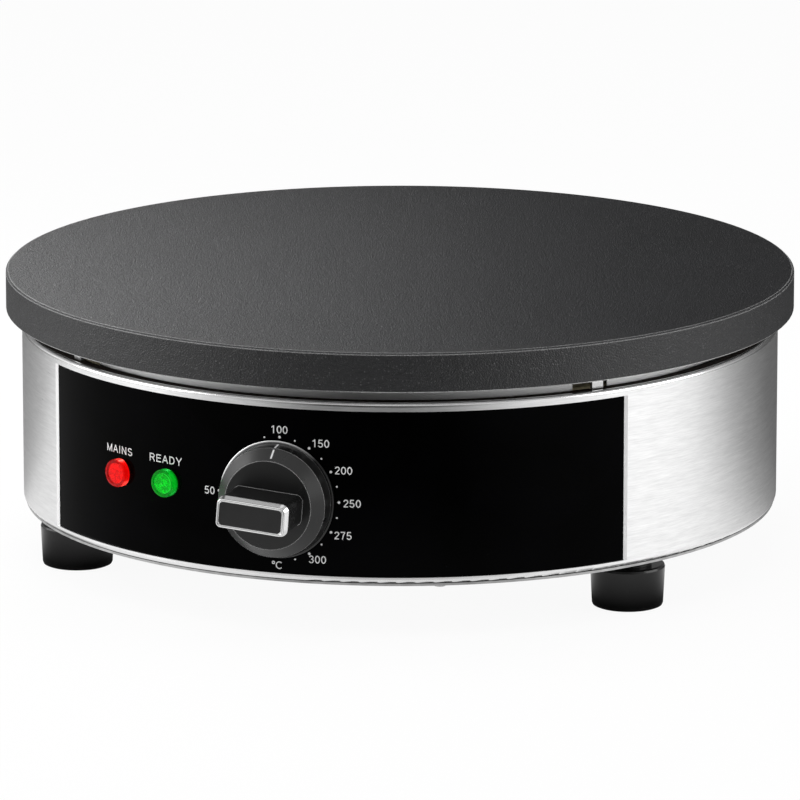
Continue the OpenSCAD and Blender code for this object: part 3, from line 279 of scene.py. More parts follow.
def build_turned():
    """True round normal of a drum with rolled edges; other faces keep their own normal."""
    sockets = [("Centre", "NodeSocketVector", CENTRE), ("Low", "NodeSocketFloat", DRUM_LOW.z),
               ("High", "NodeSocketFloat", DRUM_HIGH.z), ("Bend", "NodeSocketFloat", DRUM_BEND)]
    group, given, done = effect("turned_normal", sockets, ["Normal"])
    parts = add(group, "ShaderNodeSeparateXYZ", {0: from_centre(group, given)}).outputs
    flat = add(group, "ShaderNodeCombineXYZ", {0: parts[0], 1: parts[1]}).outputs[0]
    top = calc(group, "SUBTRACT", given["High"], given["Bend"])
    foot = calc(group, "ADD", given["Low"], given["Bend"])
    over = calc(group, "MAXIMUM", calc(group, "SUBTRACT", parts[2], top), 0.0)
    under = calc(group, "MINIMUM", calc(group, "SUBTRACT", parts[2], foot), 0.0)
    rise = calc(group, "DIVIDE", calc(group, "ADD", over, under), given["Bend"])
    rest = calc(group, "SUBTRACT", 1.0, calc(group, "MULTIPLY", rise, rise))
    out = calc(group, "SQRT", calc(group, "MAXIMUM", rest, 0.0))
    up = add(group, "ShaderNodeCombineXYZ", {2: rise}).outputs[0]
    away = add(group, "ShaderNodeVectorMath", {0: flat}, operation="NORMALIZE").outputs[0]
    away = add(group, "ShaderNodeVectorMath", {0: away, 3: out}, operation="SCALE").outputs[0]
    away = vector(group, "ADD", away, up)
    round_way = add(group, "ShaderNodeVectorMath", {0: away}, operation="NORMALIZE").outputs[0]
    own = add(group, "ShaderNodeNewGeometry").outputs
    alike = measure(group, "DOT_PRODUCT", own["True Normal"], round_way)
    same = calc(group, "GREATER_THAN", alike, 0.9)
    normal = add(group, "ShaderNodeMix", {0: same, 4: own["Normal"], 5: round_way}, data_type="VECTOR")
    send(group, done, "Normal", normal.outputs[1])
    return group


GRAIN = build_grain()
BRUSHING = build_brushing()
EDGE_WEAR_AND_SHEEN = build_wear()
HANDLING = build_handling()
BAND = build_band()
UPRIGHT_EDGE = build_upright_edge()
INSIDE = build_inside()
TURNED = build_turned()


def use(tree, group, label=None, **inputs):
    node = add(tree, "ShaderNodeGroup")
    node.node_tree = group
    for key, value in inputs.items():
        node.inputs[key.replace("_", " ")].default_value = value
    return node.outputs[label or 0]


# ---- finishes ----
FINISHES = {}


def new_finish(name, **plain):
    """Material with one Principled shader; plain holds its constant sockets."""
    material = bpy.data.materials.new(name + "_finish")
    material.use_nodes = True
    tree = material.node_tree
    shader = tree.nodes["Principled BSDF"]
    for key, value in plain.items():
        shader.inputs[key.replace("_", " ")].default_value = value
    FINISHES[name] = material
    return tree, shader


def link(tree, shader, label, value):
    tree.links.new(value, shader.inputs[label])


def bump(tree, shader, height, distance, rounded=0.0, normal=None):
    """Relief on the surface; rounded softens sharp edges over that radius."""
    inputs = {"Height": height, "Distance": distance, "Strength": 1.0}
    if rounded:
        normal = add(tree, "ShaderNodeBevel", {"Radius": rounded}, samples=6).outputs[0]
    if normal is not None:
        inputs["Normal"] = normal
    link(tree, shader, "Normal", add(tree, "ShaderNodeBump", inputs).outputs[0])


EDGE_MASK_R = 0.5 * MM


def grained(name, dark, light, rough, grain, relief, wear_and_sheen=None, rounded=0.0, **plain):
    """Cast, moulded or plated surface: grain in tone, gloss and relief."""
    tree, shader = new_finish(name, **plain)
    tone = use(tree, GRAIN, "Tone", Size=grain)
    height = use(tree, GRAIN, "Height", Size=grain)
    patches = use(tree, HANDLING, Size=0.03)
    colour = blend(tree, calc(tree, "MULTIPLY_ADD", tone, 0.6, calc(tree, "MULTIPLY", patches, 0.4)),
                   dark, light)
    # Edges take the given tone: a rubbed finish on most parts, a painted highlight on the knob.
    if wear_and_sheen is not None:
        mask = calc(tree, "MULTIPLY", use(tree, EDGE_WEAR_AND_SHEEN, Radius=EDGE_MASK_R), 0.8)
        colour = blend(tree, mask, colour, wear_and_sheen)
    link(tree, shader, "Base Color", colour)
    link(tree, shader, "Roughness", spread(tree, patches, 0, 1, rough - 0.04, rough + 0.05))
    bump(tree, shader, height, relief, rounded=rounded)


HAIR_LENGTH = 7 * MM
HAIR_WIDTH = 0.45 * MM
HAIR_RELIEF = 0.002 * MM


def brushed(name, dark, light, rough, low, high, **plain):
    """Sheet steel ground round the upright axis; its rolled edges end at two heights."""
    tree, shader = new_finish(name, Metallic=1.0, Anisotropic_Rotation=0.25, **plain)
    tone = use(tree, BRUSHING, "Tone", Length=HAIR_LENGTH, Width=HAIR_WIDTH)
    height = use(tree, BRUSHING, "Height", Length=HAIR_LENGTH, Width=HAIR_WIDTH)
    patches = use(tree, HANDLING, Size=0.06)
    colour = blend(tree, tone, dark, light)
    link(tree, shader, "Base Color", colour)
    gloss = calc(tree, "MULTIPLY_ADD", tone, 0.05, calc(tree, "MULTIPLY", patches, 0.03))
    gloss = calc(tree, "ADD", gloss, rough)
    link(tree, shader, "Roughness", gloss)
    tangent = add(tree, "ShaderNodeTangent", direction_type="RADIAL", axis="Z").outputs[0]
    link(tree, shader, "Tangent", tangent)
    normal = use(tree, TURNED, Low=low, High=high)
    bump(tree, shader, height, HAIR_RELIEF, normal=normal)
    return tree, shader, colour, gloss


PLATE_EDGE_R = 0.8 * MM
TOP_EDGE_FROM = 5 * MM
BARE_LINE = 0.6 * MM


def make_plate_finish():
    """Pebbled non-stick coat that ends at a bare turned line on the lower edge."""
    tree, shader = new_finish("plate_coating", IOR=1.55)
    tone = use(tree, GRAIN, "Tone", Size=1.3 * MM)
    pebble = use(tree, GRAIN, "Height", Size=0.75 * MM)
    cast = use(tree, GRAIN, "Height", Size=3.4 * MM)
    speck = use(tree, GRAIN, "Speck", Size=0.95 * MM)
    patches = use(tree, HANDLING, Size=0.07)
    coat = blend(tree, calc(tree, "MULTIPLY_ADD", patches, 0.35, calc(tree, "MULTIPLY", tone, 0.65)),
                 shade(7, 7, 9), shade(17, 18, 21))
    coat = blend(tree, calc(tree, "MULTIPLY", speck, 0.34), coat, grey(135))
    # Painted highlight and wear: the coat's top edges are coloured light grey, for the shine along them and
    # for a rubbed coat.
    upper = use(tree, BAND, Low=PLATE_LOW.z + TOP_EDGE_FROM, High=PLATE_HIGH.z + MM, Soft=MM)
    highlight_mask = calc(tree, "MULTIPLY", use(tree, EDGE_WEAR_AND_SHEEN, Radius=PLATE_EDGE_R),
                  calc(tree, "MULTIPLY", upper, 0.85))
    coat = blend(tree, highlight_mask, coat, grey(178))
    bare = use(tree, BAND, Low=PLATE_LOW.z - MM, High=PLATE_LOW.z + BARE_LINE, Soft=0.15 * MM)
    link(tree, shader, "Base Color", blend(tree, bare, coat, grey(205)))
    link(tree, shader, "Metallic", bare)
    rough = spread(tree, tone, 0, 1, 0.34, 0.52)
    rough = calc(tree, "MULTIPLY_ADD", speck, -0.14, rough)
    link(tree, shader, "Roughness", calc(tree, "MULTIPLY_ADD", bare, -0.1, rough))
    height = calc(tree, "MULTIPLY_ADD", cast, 0.5, pebble)
    bump(tree, shader, height, 0.3 * MM, rounded=0.7 * MM)


def make_drum_finish():
    """Steel brushed round the drum: polished bends, painted highlights on the window sides, a seam behind,
    and painted shade on the flat ring under the plate.
    """
    tree, shader, colour, gloss = brushed("drum_steel", grey(222), grey(243), 0.27,
                                          DRUM_LOW.z, DRUM_HIGH.z, Anisotropic=0.6)
    wall = use(tree, BAND, Low=DRUM_LOW.z + DRUM_BEND, High=DRUM_HIGH.z - DRUM_BEND, Soft=0.3 * MM)
    # Painted highlight: the steel beside the window's upright sides is coloured near white and made nearly
    # non-metallic, so it stays bright.
    beside = use(tree, UPRIGHT_EDGE, Angle=WINDOW_HALF + WINDOW_EDGE, Half_Width=WINDOW_EDGE)
    level = use(tree, BAND, Low=DRUM_LOW.z + STRIP_LOW, High=DRUM_HIGH.z - STRIP_TOP, Soft=0.2 * MM)
    edge = calc(tree, "MULTIPLY", beside, level)
    seam = use(tree, UPRIGHT_EDGE, Angle=pi, Half_Width=SEAM_HALF)
    colour = blend(tree, seam, colour, grey(150))
    colour = blend(tree, edge, colour, grey(254))
    # Painted shade: the flat ring under the plate's overhang is coloured dark brown and made rough, for the
    # shade and dark reflection there.
    flange_shade = use(tree, BAND, Low=DRUM_HIGH.z - 0.15 * MM, High=DRUM_HIGH.z + MM, Soft=0.05 * MM)
    within = use(tree, INSIDE, Radius=DRUM_R - DRUM_BEND - 0.1 * MM, Soft=0.3 * MM)
    flange_shade = calc(tree, "MULTIPLY", flange_shade, within)
    gloss = spread(tree, wall, 0, 1, 0.14, gloss)
    link(tree, shader, "Roughness", calc(tree, "MAXIMUM", gloss, flange_shade))
    link(tree, shader, "Base Color", blend(tree, flange_shade, colour, shade(30, 24, 20)))
    link(tree, shader, "Metallic", spread(tree, edge, 0, 1, 1.0, 0.15))


def make_pan_finish():
    """Slotted pan wall, bright under the plate, with painted shade where it dips into the drum."""
    tree, shader, colour, _ = brushed("pan_steel", grey(240), grey(250), 0.4,
                                      PAN_LOW.z, PLATE_HIGH.z, Anisotropic=0.5)
    # Painted shade: the wall is coloured dark brown from its foot up to the top of the shaded band.
    pan_shade = use(tree, BAND, Low=PAN_LOW.z - MM, High=PAN_SHADE_TOP, Soft=0.4 * MM)
    link(tree, shader, "Base Color", blend(tree, pan_shade, colour, shade(26, 22, 19)))


def make_panel_finish():
    """Deep gloss black with hairlines and faint wipe marks."""
    tree, shader = new_finish("panel_gloss", IOR=1.08)
    wiped = use(tree, BRUSHING, "Tone", Length=0.03, Width=0.5 * MM)
    patches = use(tree, HANDLING, Size=0.05)
    link(tree, shader, "Base Color", blend(tree, patches, grey(1), shade(3, 3, 4)))
    rough = calc(tree, "MULTIPLY_ADD", patches, 0.03, calc(tree, "MULTIPLY", wiped, 0.015))
    link(tree, shader, "Roughness", calc(tree, "ADD", rough, 0.06))
    bump(tree, shader, wiped, 0.002 * MM)


def make_lens_finish(name, colour, deep, lit):
    """Clear tinted plastic that passes on a little of the lamp's light."""
    tree, shader = new_finish(name, IOR=1.22, Transmission_Weight=1.0,
                              Emission_Strength=0.13, Emission_Color=lit)
    grain = use(tree, GRAIN, "Tone", Size=0.9 * MM)
    link(tree, shader, "Base Color", blend(tree, grain, deep, colour))
    link(tree, shader, "Roughness", spread(tree, grain, 0, 1, 0.01, 0.04))


# Painted light: facets that face this way glow brighter.
PAINTED_LIGHT_SIDE = (0.7, 0.1, -0.7)


def make_glow(name, unlit, deep, colour, bright):
    """Facetted reflector behind a lens, lit from inside: a glow that varies at random, painted lighter on
    facets that face one way, with painted sparkles.
    """
    tree, shader = new_finish(name, Emission_Strength=0.9)
    patches = use(tree, GRAIN, "Tone", Size=1.9 * MM)
    grain = use(tree, GRAIN, "Tone", Size=0.8 * MM)
    speck = use(tree, GRAIN, "Speck", Size=1.5 * MM)
    facing = add(tree, "ShaderNodeNewGeometry").outputs["True Normal"]
    side = measure(tree, "DOT_PRODUCT", facing, PAINTED_LIGHT_SIDE)
    lit = calc(tree, "MULTIPLY_ADD", patches, 0.8, calc(tree, "MULTIPLY", grain, 0.3))
    lit = calc(tree, "MULTIPLY_ADD", side, 0.4, lit)
    lit = spread(tree, lit, 0.3, 0.85)
    link(tree, shader, "Base Color", blend(tree, grain, unlit, deep))
    # Painted sparkles: scattered specks of the glow take a near white tone.
    tint = blend(tree, speck, blend(tree, lit, deep, colour), bright)
    link(tree, shader, "Emission Color", tint)
    link(tree, shader, "Metallic", spread(tree, grain, 0, 1, 0.3, 0.7))
    link(tree, shader, "Roughness", spread(tree, grain, 0, 1, 0.12, 0.25))


# Painted highlight: over this arc on the bezel's upper left the black bead turns to bright metal.
ARC_HIGHLIGHT_AT = radians(-32)
ARC_HIGHLIGHT_HALF = radians(44)
ARC_HIGHLIGHT_END = radians(76)


def make_bead_finish():
    """Black coat, with a painted highlight of bright metal over an arc on the upper left of the bezel."""
    tree, shader = new_finish("bezel_bead", IOR=1.6)
    place = add(tree, "ShaderNodeTexCoord").outputs["Object"]
    apart = vector(tree, "SUBTRACT", place, KNOB)
    side = Vector((cos(KNOB_AZ), sin(KNOB_AZ), 0))
    across = measure(tree, "DOT_PRODUCT", apart, side)
    up = add(tree, "ShaderNodeSeparateXYZ", {0: apart}).outputs[2]
    turn = calc(tree, "ARCTAN2", across, up)
    off = calc(tree, "ABSOLUTE", calc(tree, "SUBTRACT", turn, ARC_HIGHLIGHT_AT))
    highlight_mask = spread(tree, off, ARC_HIGHLIGHT_END, ARC_HIGHLIGHT_HALF)
    grain = use(tree, GRAIN, "Tone", Size=0.5 * MM)
    bright = blend(tree, grain, grey(205), grey(235))
    link(tree, shader, "Base Color", blend(tree, highlight_mask, grey(12), bright))
    link(tree, shader, "Metallic", highlight_mask)
    link(tree, shader, "Roughness", spread(tree, grain, 0, 1, 0.3, 0.4))


# Name, darkest and lightest tone, roughness, grain and relief in millimetres, and on edges, the tone there
# (the tone under a rubbed finish; on the knob, a painted highlight) and the radius that softens them.
BARE_METALS = [
    ("leg_steel", grey(196), grey(226), 0.3, 0.5, 0.01),
    ("base_steel", grey(150), grey(192), 0.38, 6, 0.008),
    ("plain_steel", grey(150), grey(185), 0.38, 0.7, 0.02),
    ("zinc_fasteners", grey(168), grey(205), 0.3, 0.9, 0.012, grey(225)),
    ("heater_sheath", shade(92, 86, 78), shade(126, 116, 104), 0.45, 1.5, 0.02),
    ("copper", shade(176, 104, 66), shade(206, 136, 96), 0.32, 1.2, 0.01),
    ("trim_chrome", grey(226), grey(238), 0.1, 2, 0.001, None, 0.5 * MM),
    ("lip_chrome", grey(236), grey(246), 0.14, 2, 0.0005),
    ("shaft_steel", grey(168), grey(196), 0.26, 0.8, 0.01),
    ("saddle_casting", grey(140), grey(176), 0.5, 1, 0.05, grey(205)),
    ("brass", shade(188, 148, 74), shade(216, 178, 102), 0.28, 0.9, 0.01),
]
MOULDED = [
    ("mineral_wool", shade(186, 174, 138), shade(224, 214, 182), 0.9, 2.2, 0.5),
    ("bezel_plastic", grey(6), grey(10), 0.3, 0.35, 0.006, grey(30), 0.3 * MM),
    # Painted highlight: light grey on the knob's edges stands for the shine along them.
    ("knob_plastic", grey(17), grey(23), 0.3, 0.35, 0.01, grey(200), 0.5 * MM),
    ("insert_gloss", grey(26), grey(33), 0.3, 0.3, 0.004, grey(80)),
    ("thermostat_case", grey(44), grey(60), 0.42, 0.5, 0.02),
    ("lamp_nylon", shade(214, 208, 194), shade(232, 228, 216), 0.42, 0.5, 0.01),
    ("black_nylon", grey(18), grey(28), 0.4, 0.4, 0.02, grey(70)),
    ("seal_rubber", grey(46), grey(60), 0.62, 0.5, 0.03),
    ("ceramic", shade(216, 208, 190), shade(234, 228, 214), 0.34, 0.8, 0.02),
    ("lead_brown", shade(96, 56, 30), shade(122, 76, 44), 0.45, 0.6, 0.02),
    ("lead_blue", shade(40, 84, 148), shade(58, 106, 172), 0.45, 0.6, 0.02),
    ("lead_green", shade(96, 148, 40), shade(168, 176, 52), 0.45, 3, 0.02),
    ("lead_white", grey(214), grey(232), 0.45, 0.6, 0.02),
    ("print_white", grey(228), grey(240), 0.5, 0.4, 0.004),
]


def make_finishes():
    make_plate_finish()
    make_drum_finish()
    make_panel_finish()
    make_pan_finish()
    for name, dark, light, rough, grain, relief, *wear_and_sheen in BARE_METALS:
        grained(name, dark, light, rough, grain * MM, relief * MM, *wear_and_sheen, Metallic=1.0)
    for name, dark, light, rough, grain, relief, *wear_and_sheen in MOULDED:
        grained(name, dark, light, rough, grain * MM, relief * MM, *wear_and_sheen)
    grained("foot_rubber", grey(3), grey(7), 0.2, 0.5 * MM, 0.004 * MM, grey(60), 0.5 * MM, IOR=1.42)
    make_lens_finish("lens_red", shade(255, 96, 84), shade(255, 60, 52), shade(255, 0, 8))
    make_lens_finish("lens_green", shade(96, 250, 140), shade(50, 225, 104), shade(0, 220, 50))
    # Each glow: unlit, deep and lit tone of its facets, then the tone of its painted sparkles.
    make_glow("lens_red_glow", shade(50, 0, 0), shade(150, 0, 2), shade(255, 22, 16),
              shade(255, 170, 110))
    make_glow("lens_green_glow", shade(0, 36, 10), shade(0, 110, 30), shade(8, 225, 70),
              shade(170, 255, 190))
    make_bead_finish()


def dress_nodes():
    for node in frame["nodes"].values():
        for place in node.material_slots:
            place.material = FINISHES[place.material.name.split(".")[0]]


# ---- building helpers ----
def show(name, data):
    """Object at the origin that holds a mesh, a light or a camera."""
    made = bpy.data.objects.new(name, data)
    bpy.context.scene.collection.objects.link(made)
    return made


def piece(name, mesh, finish, body):
    """Piece of the machine: its finish, the body it rides on and the slot it is finished by."""
    made = show(name, mesh)
    mesh.materials.clear()
    mesh.materials.append(FINISHES[finish])
    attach(made, body)


def mesh_of(name, work):
    mesh = bpy.data.meshes.new(name)
    work.to_mesh(mesh)
    work.free()
    return mesh


def around(steps):
    """Angles of a full turn in equal steps."""
    return [2 * pi * step / steps for step in range(steps)]


def ring_piece(name, rings, finish, body):
    """Piece with one smooth closed skin: rings of points that follow each other round a closed path."""
    work = bmesh.new()
    corners = [[work.verts.new(point) for point in ring] for ring in rings]
    for one, two in zip(corners, corners[1:] + corners[:1]):
        for j in range(len(one)):
            k = (j + 1) % len(one)
            work.faces.new((one[j], two[j], two[k], one[k]))
    bmesh.ops.recalc_face_normals(work, faces=work.faces)
    for face in work.faces:
        face.smooth = True
    piece(name, mesh_of(name, work), finish, body)


def run(*points):
    """Straight strokes through points, each a stroke of its own so that corners stay sharp."""
    return [[a, b] for a, b in zip(points, points[1:])]


def sweep(x, y, wide, high, start, stop):
    """One curved stroke on an ellipse, from start to stop degrees, anticlockwise from the right."""
    count = max(6, int(abs(stop - start) / 12))
    angles = [radians(start + (stop - start) * k / count) for k in range(count + 1)]
    return [[(x + wide * cos(a), y + high * sin(a)) for a in angles]]


# Each character: how far it moves the pen, and its strokes, in heights of a capital.
LETTERS = {
    "0": (0.777, sweep(0.39, 0.5, 0.26, 0.435, 0, 360)),
    "1": (0.777, run((0.43, 0), (0.43, 1)) + run((0.15, 0.735), (0.28, 0.8), (0.41, 0.95))),
    "2": (0.777, sweep(0.385, 0.7, 0.245, 0.235, 175, -25) + run((0.6, 0.6), (0.13, 0.09))
          + run((0.09, 0.065), (0.66, 0.065))),
    "3": (0.777, sweep(0.36, 0.725, 0.23, 0.21, 165, -90) + sweep(0.37, 0.29, 0.26, 0.225, 90, -165)),
    "5": (0.777, run((0.17, 0.935), (0.62, 0.935)) + run((0.2, 0.96), (0.15, 0.47))
          + sweep(0.365, 0.315, 0.265, 0.255, 140, -160)),
    "7": (0.777, run((0.09, 0.935), (0.65, 0.935)) + run((0.62, 0.92), (0.44, 0.55), (0.31, 0))),
    "o": (0.45, sweep(0.2, 0.8, 0.155, 0.155, 0, 360)),
    "C": (1.01, sweep(0.52, 0.5, 0.4, 0.435, 42, 318)),
    "M": (1.163, run((0.165, 0), (0.165, 1)) + run((1.0, 0), (1.0, 1))
          + run((0.165, 0.96), (0.58, 0.04)) + run((1.0, 0.96), (0.58, 0.04))),
    "A": (0.93, run((0.06, 0), (0.465, 0.98)) + run((0.87, 0), (0.465, 0.98))
          + run((0.2, 0.345), (0.73, 0.345))),
    "I": (0.39, run((0.195, 0), (0.195, 1))),
    "N": (1.01, run((0.16, 0), (0.16, 1)) + run((0.85, 0), (0.85, 1))
          + run((0.16, 0.95), (0.85, 0.05))),
    "S": (0.93, sweep(0.46, 0.725, 0.3, 0.21, 25, 240) + run((0.31, 0.543), (0.63, 0.465))
          + sweep(0.46, 0.285, 0.34, 0.225, 60, -160)),
    "R": (1.01, run((0.17, 0), (0.17, 1)) + run((0.17, 0.935), (0.62, 0.935))
          + sweep(0.62, 0.72, 0.23, 0.215, 90, -90) + run((0.17, 0.505), (0.62, 0.505))
          + run((0.58, 0.505), (0.9, 0))),
    "E": (0.93, run((0.17, 0), (0.17, 1)) + run((0.17, 0.935), (0.83, 0.935))
          + run((0.17, 0.53), (0.79, 0.53)) + run((0.17, 0.065), (0.85, 0.065))),
    "D": (1.01, run((0.17, 0), (0.17, 1)) + run((0.17, 0.935), (0.45, 0.935))
          + sweep(0.45, 0.5, 0.4, 0.435, 90, -90) + run((0.17, 0.065), (0.45, 0.065))),
    "Y": (0.93, run((0.05, 1), (0.465, 0.43)) + run((0.88, 1), (0.465, 0.43))
          + run((0.465, 0), (0.465, 0.47))),
}


def strokes_of(words, height, spot, gap=0.0):
    """Pen strokes of words, centred on spot, with an extra gap after each letter."""
    length = sum(LETTERS[letter][0] + gap for letter in words) * height
    pen = spot[0] - length / 2
    base = spot[1] - height / 2
    strokes = []
    for letter in words:
        advance, shape = LETTERS[letter]
        for line in shape:
            strokes.append([(pen + x * height, base + y * height) for x, y in line])
        pen += (advance + gap) * height
    return strokes


def stroke_mesh(strokes):
    """Edges only, in the plane z = 0."""
    work = bmesh.new()
    for line in strokes:
        corners = [work.verts.new((x, y, 0)) for x, y in line]
        for a, b in zip(corners, corners[1:]):
            work.edges.new((a, b))
    return mesh_of("strokes", work)


# ---- geometry node trees ----
def new_tree(name, inputs):
    tree = bpy.data.node_groups.new(name, "GeometryNodeTree")
    tree.interface.new_socket(name="Geometry", in_out="INPUT", socket_type="NodeSocketGeometry")
    for label, kind in inputs:
        tree.interface.new_socket(name=label, in_out="INPUT", socket_type=kind)
    tree.interface.new_socket(name="Geometry", in_out="OUTPUT", socket_type="NodeSocketGeometry")
    return tree, tree.nodes.new("NodeGroupInput").outputs


def together(tree, *parts):
    """One geometry of several."""
    both = tree.nodes.new("GeometryNodeJoinGeometry")
    for part in parts:
        tree.links.new(part, both.inputs[0])
    return both.outputs[0]


def end_tree(tree, geometry, material):
    whole = add(tree, "GeometryNodeRealizeInstances", {0: geometry}).outputs[0]
    coated = add(tree, "GeometryNodeSetMaterial", {"Geometry": whole, "Material": material})
    leave = tree.nodes.new("NodeGroupOutput")
    tree.links.new(coated.outputs[0], leave.inputs[0])


def grown(name, mesh, tree, values):
    """Plain mesh that a tree makes from a mesh."""
    holder = show(name + "_seed", mesh)
    modifier = holder.modifiers.new("tree", "NODES")
    modifier.node_group = tree
    for item in tree.interface.items_tree:
        if item.in_out == "INPUT" and item.name in values:
            modifier[item.identifier] = values[item.name]
    bpy.context.view_layer.update()
    ready = holder.evaluated_get(bpy.context.evaluated_depsgraph_get())
    made = bpy.data.meshes.new_from_object(ready)
    made.name = name
    bpy.data.objects.remove(holder)
    return made


def panel_print_tree():
    """Draws pen strokes and the dial's dots, and bends all of it onto the panel."""
    sizes = [("Material", "NodeSocketMaterial"), ("Stroke", "NodeSocketFloat"),
             ("Dots", "NodeSocketInt"), ("Dot Circle", "NodeSocketFloat"),
             ("First Angle", "NodeSocketFloat"), ("Step", "NodeSocketFloat"),
             ("Low Dot Angle", "NodeSocketFloat"), ("Small Dot", "NodeSocketFloat"),
             ("Big Dot", "NodeSocketFloat"), ("Thickness", "NodeSocketFloat"),
             ("Panel Radius", "NodeSocketFloat"), ("Azimuth", "NodeSocketFloat"),
             ("Centre", "NodeSocketVector")]
    tree, given = new_tree("panel_print", sizes)
    pen = add(tree, "GeometryNodeMeshToCurve", {0: given["Geometry"]})
    level = add(tree, "GeometryNodeSetCurveNormal", {0: pen.outputs[0]}, mode="Z_UP")
    nib = add(tree, "GeometryNodeCurvePrimitiveQuadrilateral",
              {"Width": given["Stroke"], "Height": given["Thickness"]})
    ink = add(tree, "GeometryNodeCurveToMesh",
              {"Curve": level.outputs[0], "Profile Curve": nib.outputs[0], "Fill Caps": True})
    row = add(tree, "GeometryNodeMeshLine", {"Count": calc(tree, "ADD", given["Dots"], 1.0)})
    index = add(tree, "GeometryNodeInputIndex").outputs[0]
    after = calc(tree, "SUBTRACT", index, 1.0)
    angle = calc(tree, "MULTIPLY_ADD", after, given["Step"], given["First Angle"])
    lone = calc(tree, "LESS_THAN", index, 0.5)
    angle = add(tree, "ShaderNodeMix", {0: lone, 2: angle, 3: given["Low Dot Angle"]}).outputs[0]
    right = calc(tree, "MULTIPLY", calc(tree, "SINE", angle), given["Dot Circle"])
    up = calc(tree, "MULTIPLY", calc(tree, "COSINE", angle), given["Dot Circle"])
    spot = add(tree, "ShaderNodeCombineXYZ", {0: right, 1: up})
    ring = add(tree, "GeometryNodeSetPosition", {"Geometry": row.outputs[0], "Position": spot.outputs[0]})
    even = calc(tree, "SUBTRACT", 1.0, calc(tree, "MODULO", index, 2.0))
    growth = calc(tree, "DIVIDE", given["Big Dot"], given["Small Dot"])
    size = add(tree, "ShaderNodeMix", {0: even, 2: 1.0, 3: growth}).outputs[0]
    scale = add(tree, "ShaderNodeCombineXYZ", {0: size, 1: size, 2: 1.0}).outputs[0]
    dot = add(tree, "GeometryNodeMeshCylinder",
              {"Vertices": 20, "Radius": given["Small Dot"], "Depth": given["Thickness"]})
    dots = add(tree, "GeometryNodeInstanceOnPoints",
               {"Points": ring.outputs[0], "Instance": dot.outputs[0], "Scale": scale})
    flat = add(tree, "GeometryNodeRealizeInstances", {0: dots.outputs[0]}).outputs[0]
    both = together(tree, flat, ink.outputs[0])
    here = add(tree, "GeometryNodeInputPosition").outputs[0]
    parts = add(tree, "ShaderNodeSeparateXYZ", {0: here}).outputs
    az = calc(tree, "ADD", calc(tree, "DIVIDE", parts[0], given["Panel Radius"]), given["Azimuth"])
    radius = calc(tree, "ADD", parts[2], given["Panel Radius"])
    x = calc(tree, "MULTIPLY", calc(tree, "SINE", az), radius)
    y = calc(tree, "MULTIPLY", calc(tree, "MULTIPLY", calc(tree, "COSINE", az), radius), -1.0)
    round_axis = add(tree, "ShaderNodeCombineXYZ", {0: x, 1: y, 2: parts[1]}).outputs[0]
    bent = vector(tree, "ADD", round_axis, given["Centre"])
    placed = add(tree, "GeometryNodeSetPosition", {"Geometry": both, "Position": bent})
    end_tree(tree, placed.outputs[0], given["Material"])
    return tree


GOLDEN_TURN = radians(137.508)


def facet_tree():
    """Disc of small pyramids in a spiral of even spacing, in the plane z = 0."""
    sizes = [("Material", "NodeSocketMaterial"), ("Facets", "NodeSocketInt"),
             ("Spacing", "NodeSocketFloat"), ("Facet Radius", "NodeSocketFloat"),
             ("Facet Height", "NodeSocketFloat"), ("Disc Radius", "NodeSocketFloat"),
             ("Disc Thickness", "NodeSocketFloat")]
    tree, given = new_tree("lens_facets", sizes)
    row = add(tree, "GeometryNodeMeshLine", {"Count": given["Facets"]})
    index = add(tree, "GeometryNodeInputIndex").outputs[0]
    angle = calc(tree, "MULTIPLY", index, GOLDEN_TURN)
    reach = calc(tree, "MULTIPLY", calc(tree, "SQRT", calc(tree, "ADD", index, 0.5)), given["Spacing"])
    spot = add(tree, "ShaderNodeCombineXYZ",
               {0: calc(tree, "MULTIPLY", calc(tree, "COSINE", angle), reach),
                1: calc(tree, "MULTIPLY", calc(tree, "SINE", angle), reach)})
    points = add(tree, "GeometryNodeSetPosition", {"Geometry": row.outputs[0], "Position": spot.outputs[0]})
    facet = add(tree, "GeometryNodeMeshCone",
                {"Vertices": 6, "Radius Bottom": given["Facet Radius"], "Depth": given["Facet Height"]})
    turn = add(tree, "ShaderNodeCombineXYZ", {2: angle}).outputs[0]
    many = add(tree, "GeometryNodeInstanceOnPoints",
               {"Points": points.outputs[0], "Instance": facet.outputs[0], "Rotation": turn})
    disc = add(tree, "GeometryNodeMeshCylinder",
               {"Vertices": 48, "Radius": given["Disc Radius"], "Depth": given["Disc Thickness"]})
    both = together(tree, disc.outputs[0], many.outputs[0])
    end_tree(tree, both, given["Material"])
    return tree


# ---- dial and lamp print ----
CAPITAL = 3.9 * MM
STROKE = 0.54 * MM
INK = 0.03 * MM
LABEL_UP = 11.4 * MM
LABEL_GAP = 0.12
# Words of the dial, and how far each stands right of and above the knob's axis, in millimetres.
DIAL_MARKS = [("50", -36.3, 0.8), ("100", 1.2, 34.8), ("150", 22.1, 29.1), ("200", 33.4, 16.0),
              ("250", 37.6, -0.4), ("275", 33.1, -16.6), ("300", 20.4, -29.2), ("oC", 0.1, -33.3)]
DOTS = 13
DOT_CIRCLE = 31.1 * MM
DOT_START = radians(-12.0)
DOT_STEP = radians(14.575)
LOW_DOT = radians(-87.8)
SMALL_DOT = 0.47 * MM
BIG_DOT = 0.68 * MM


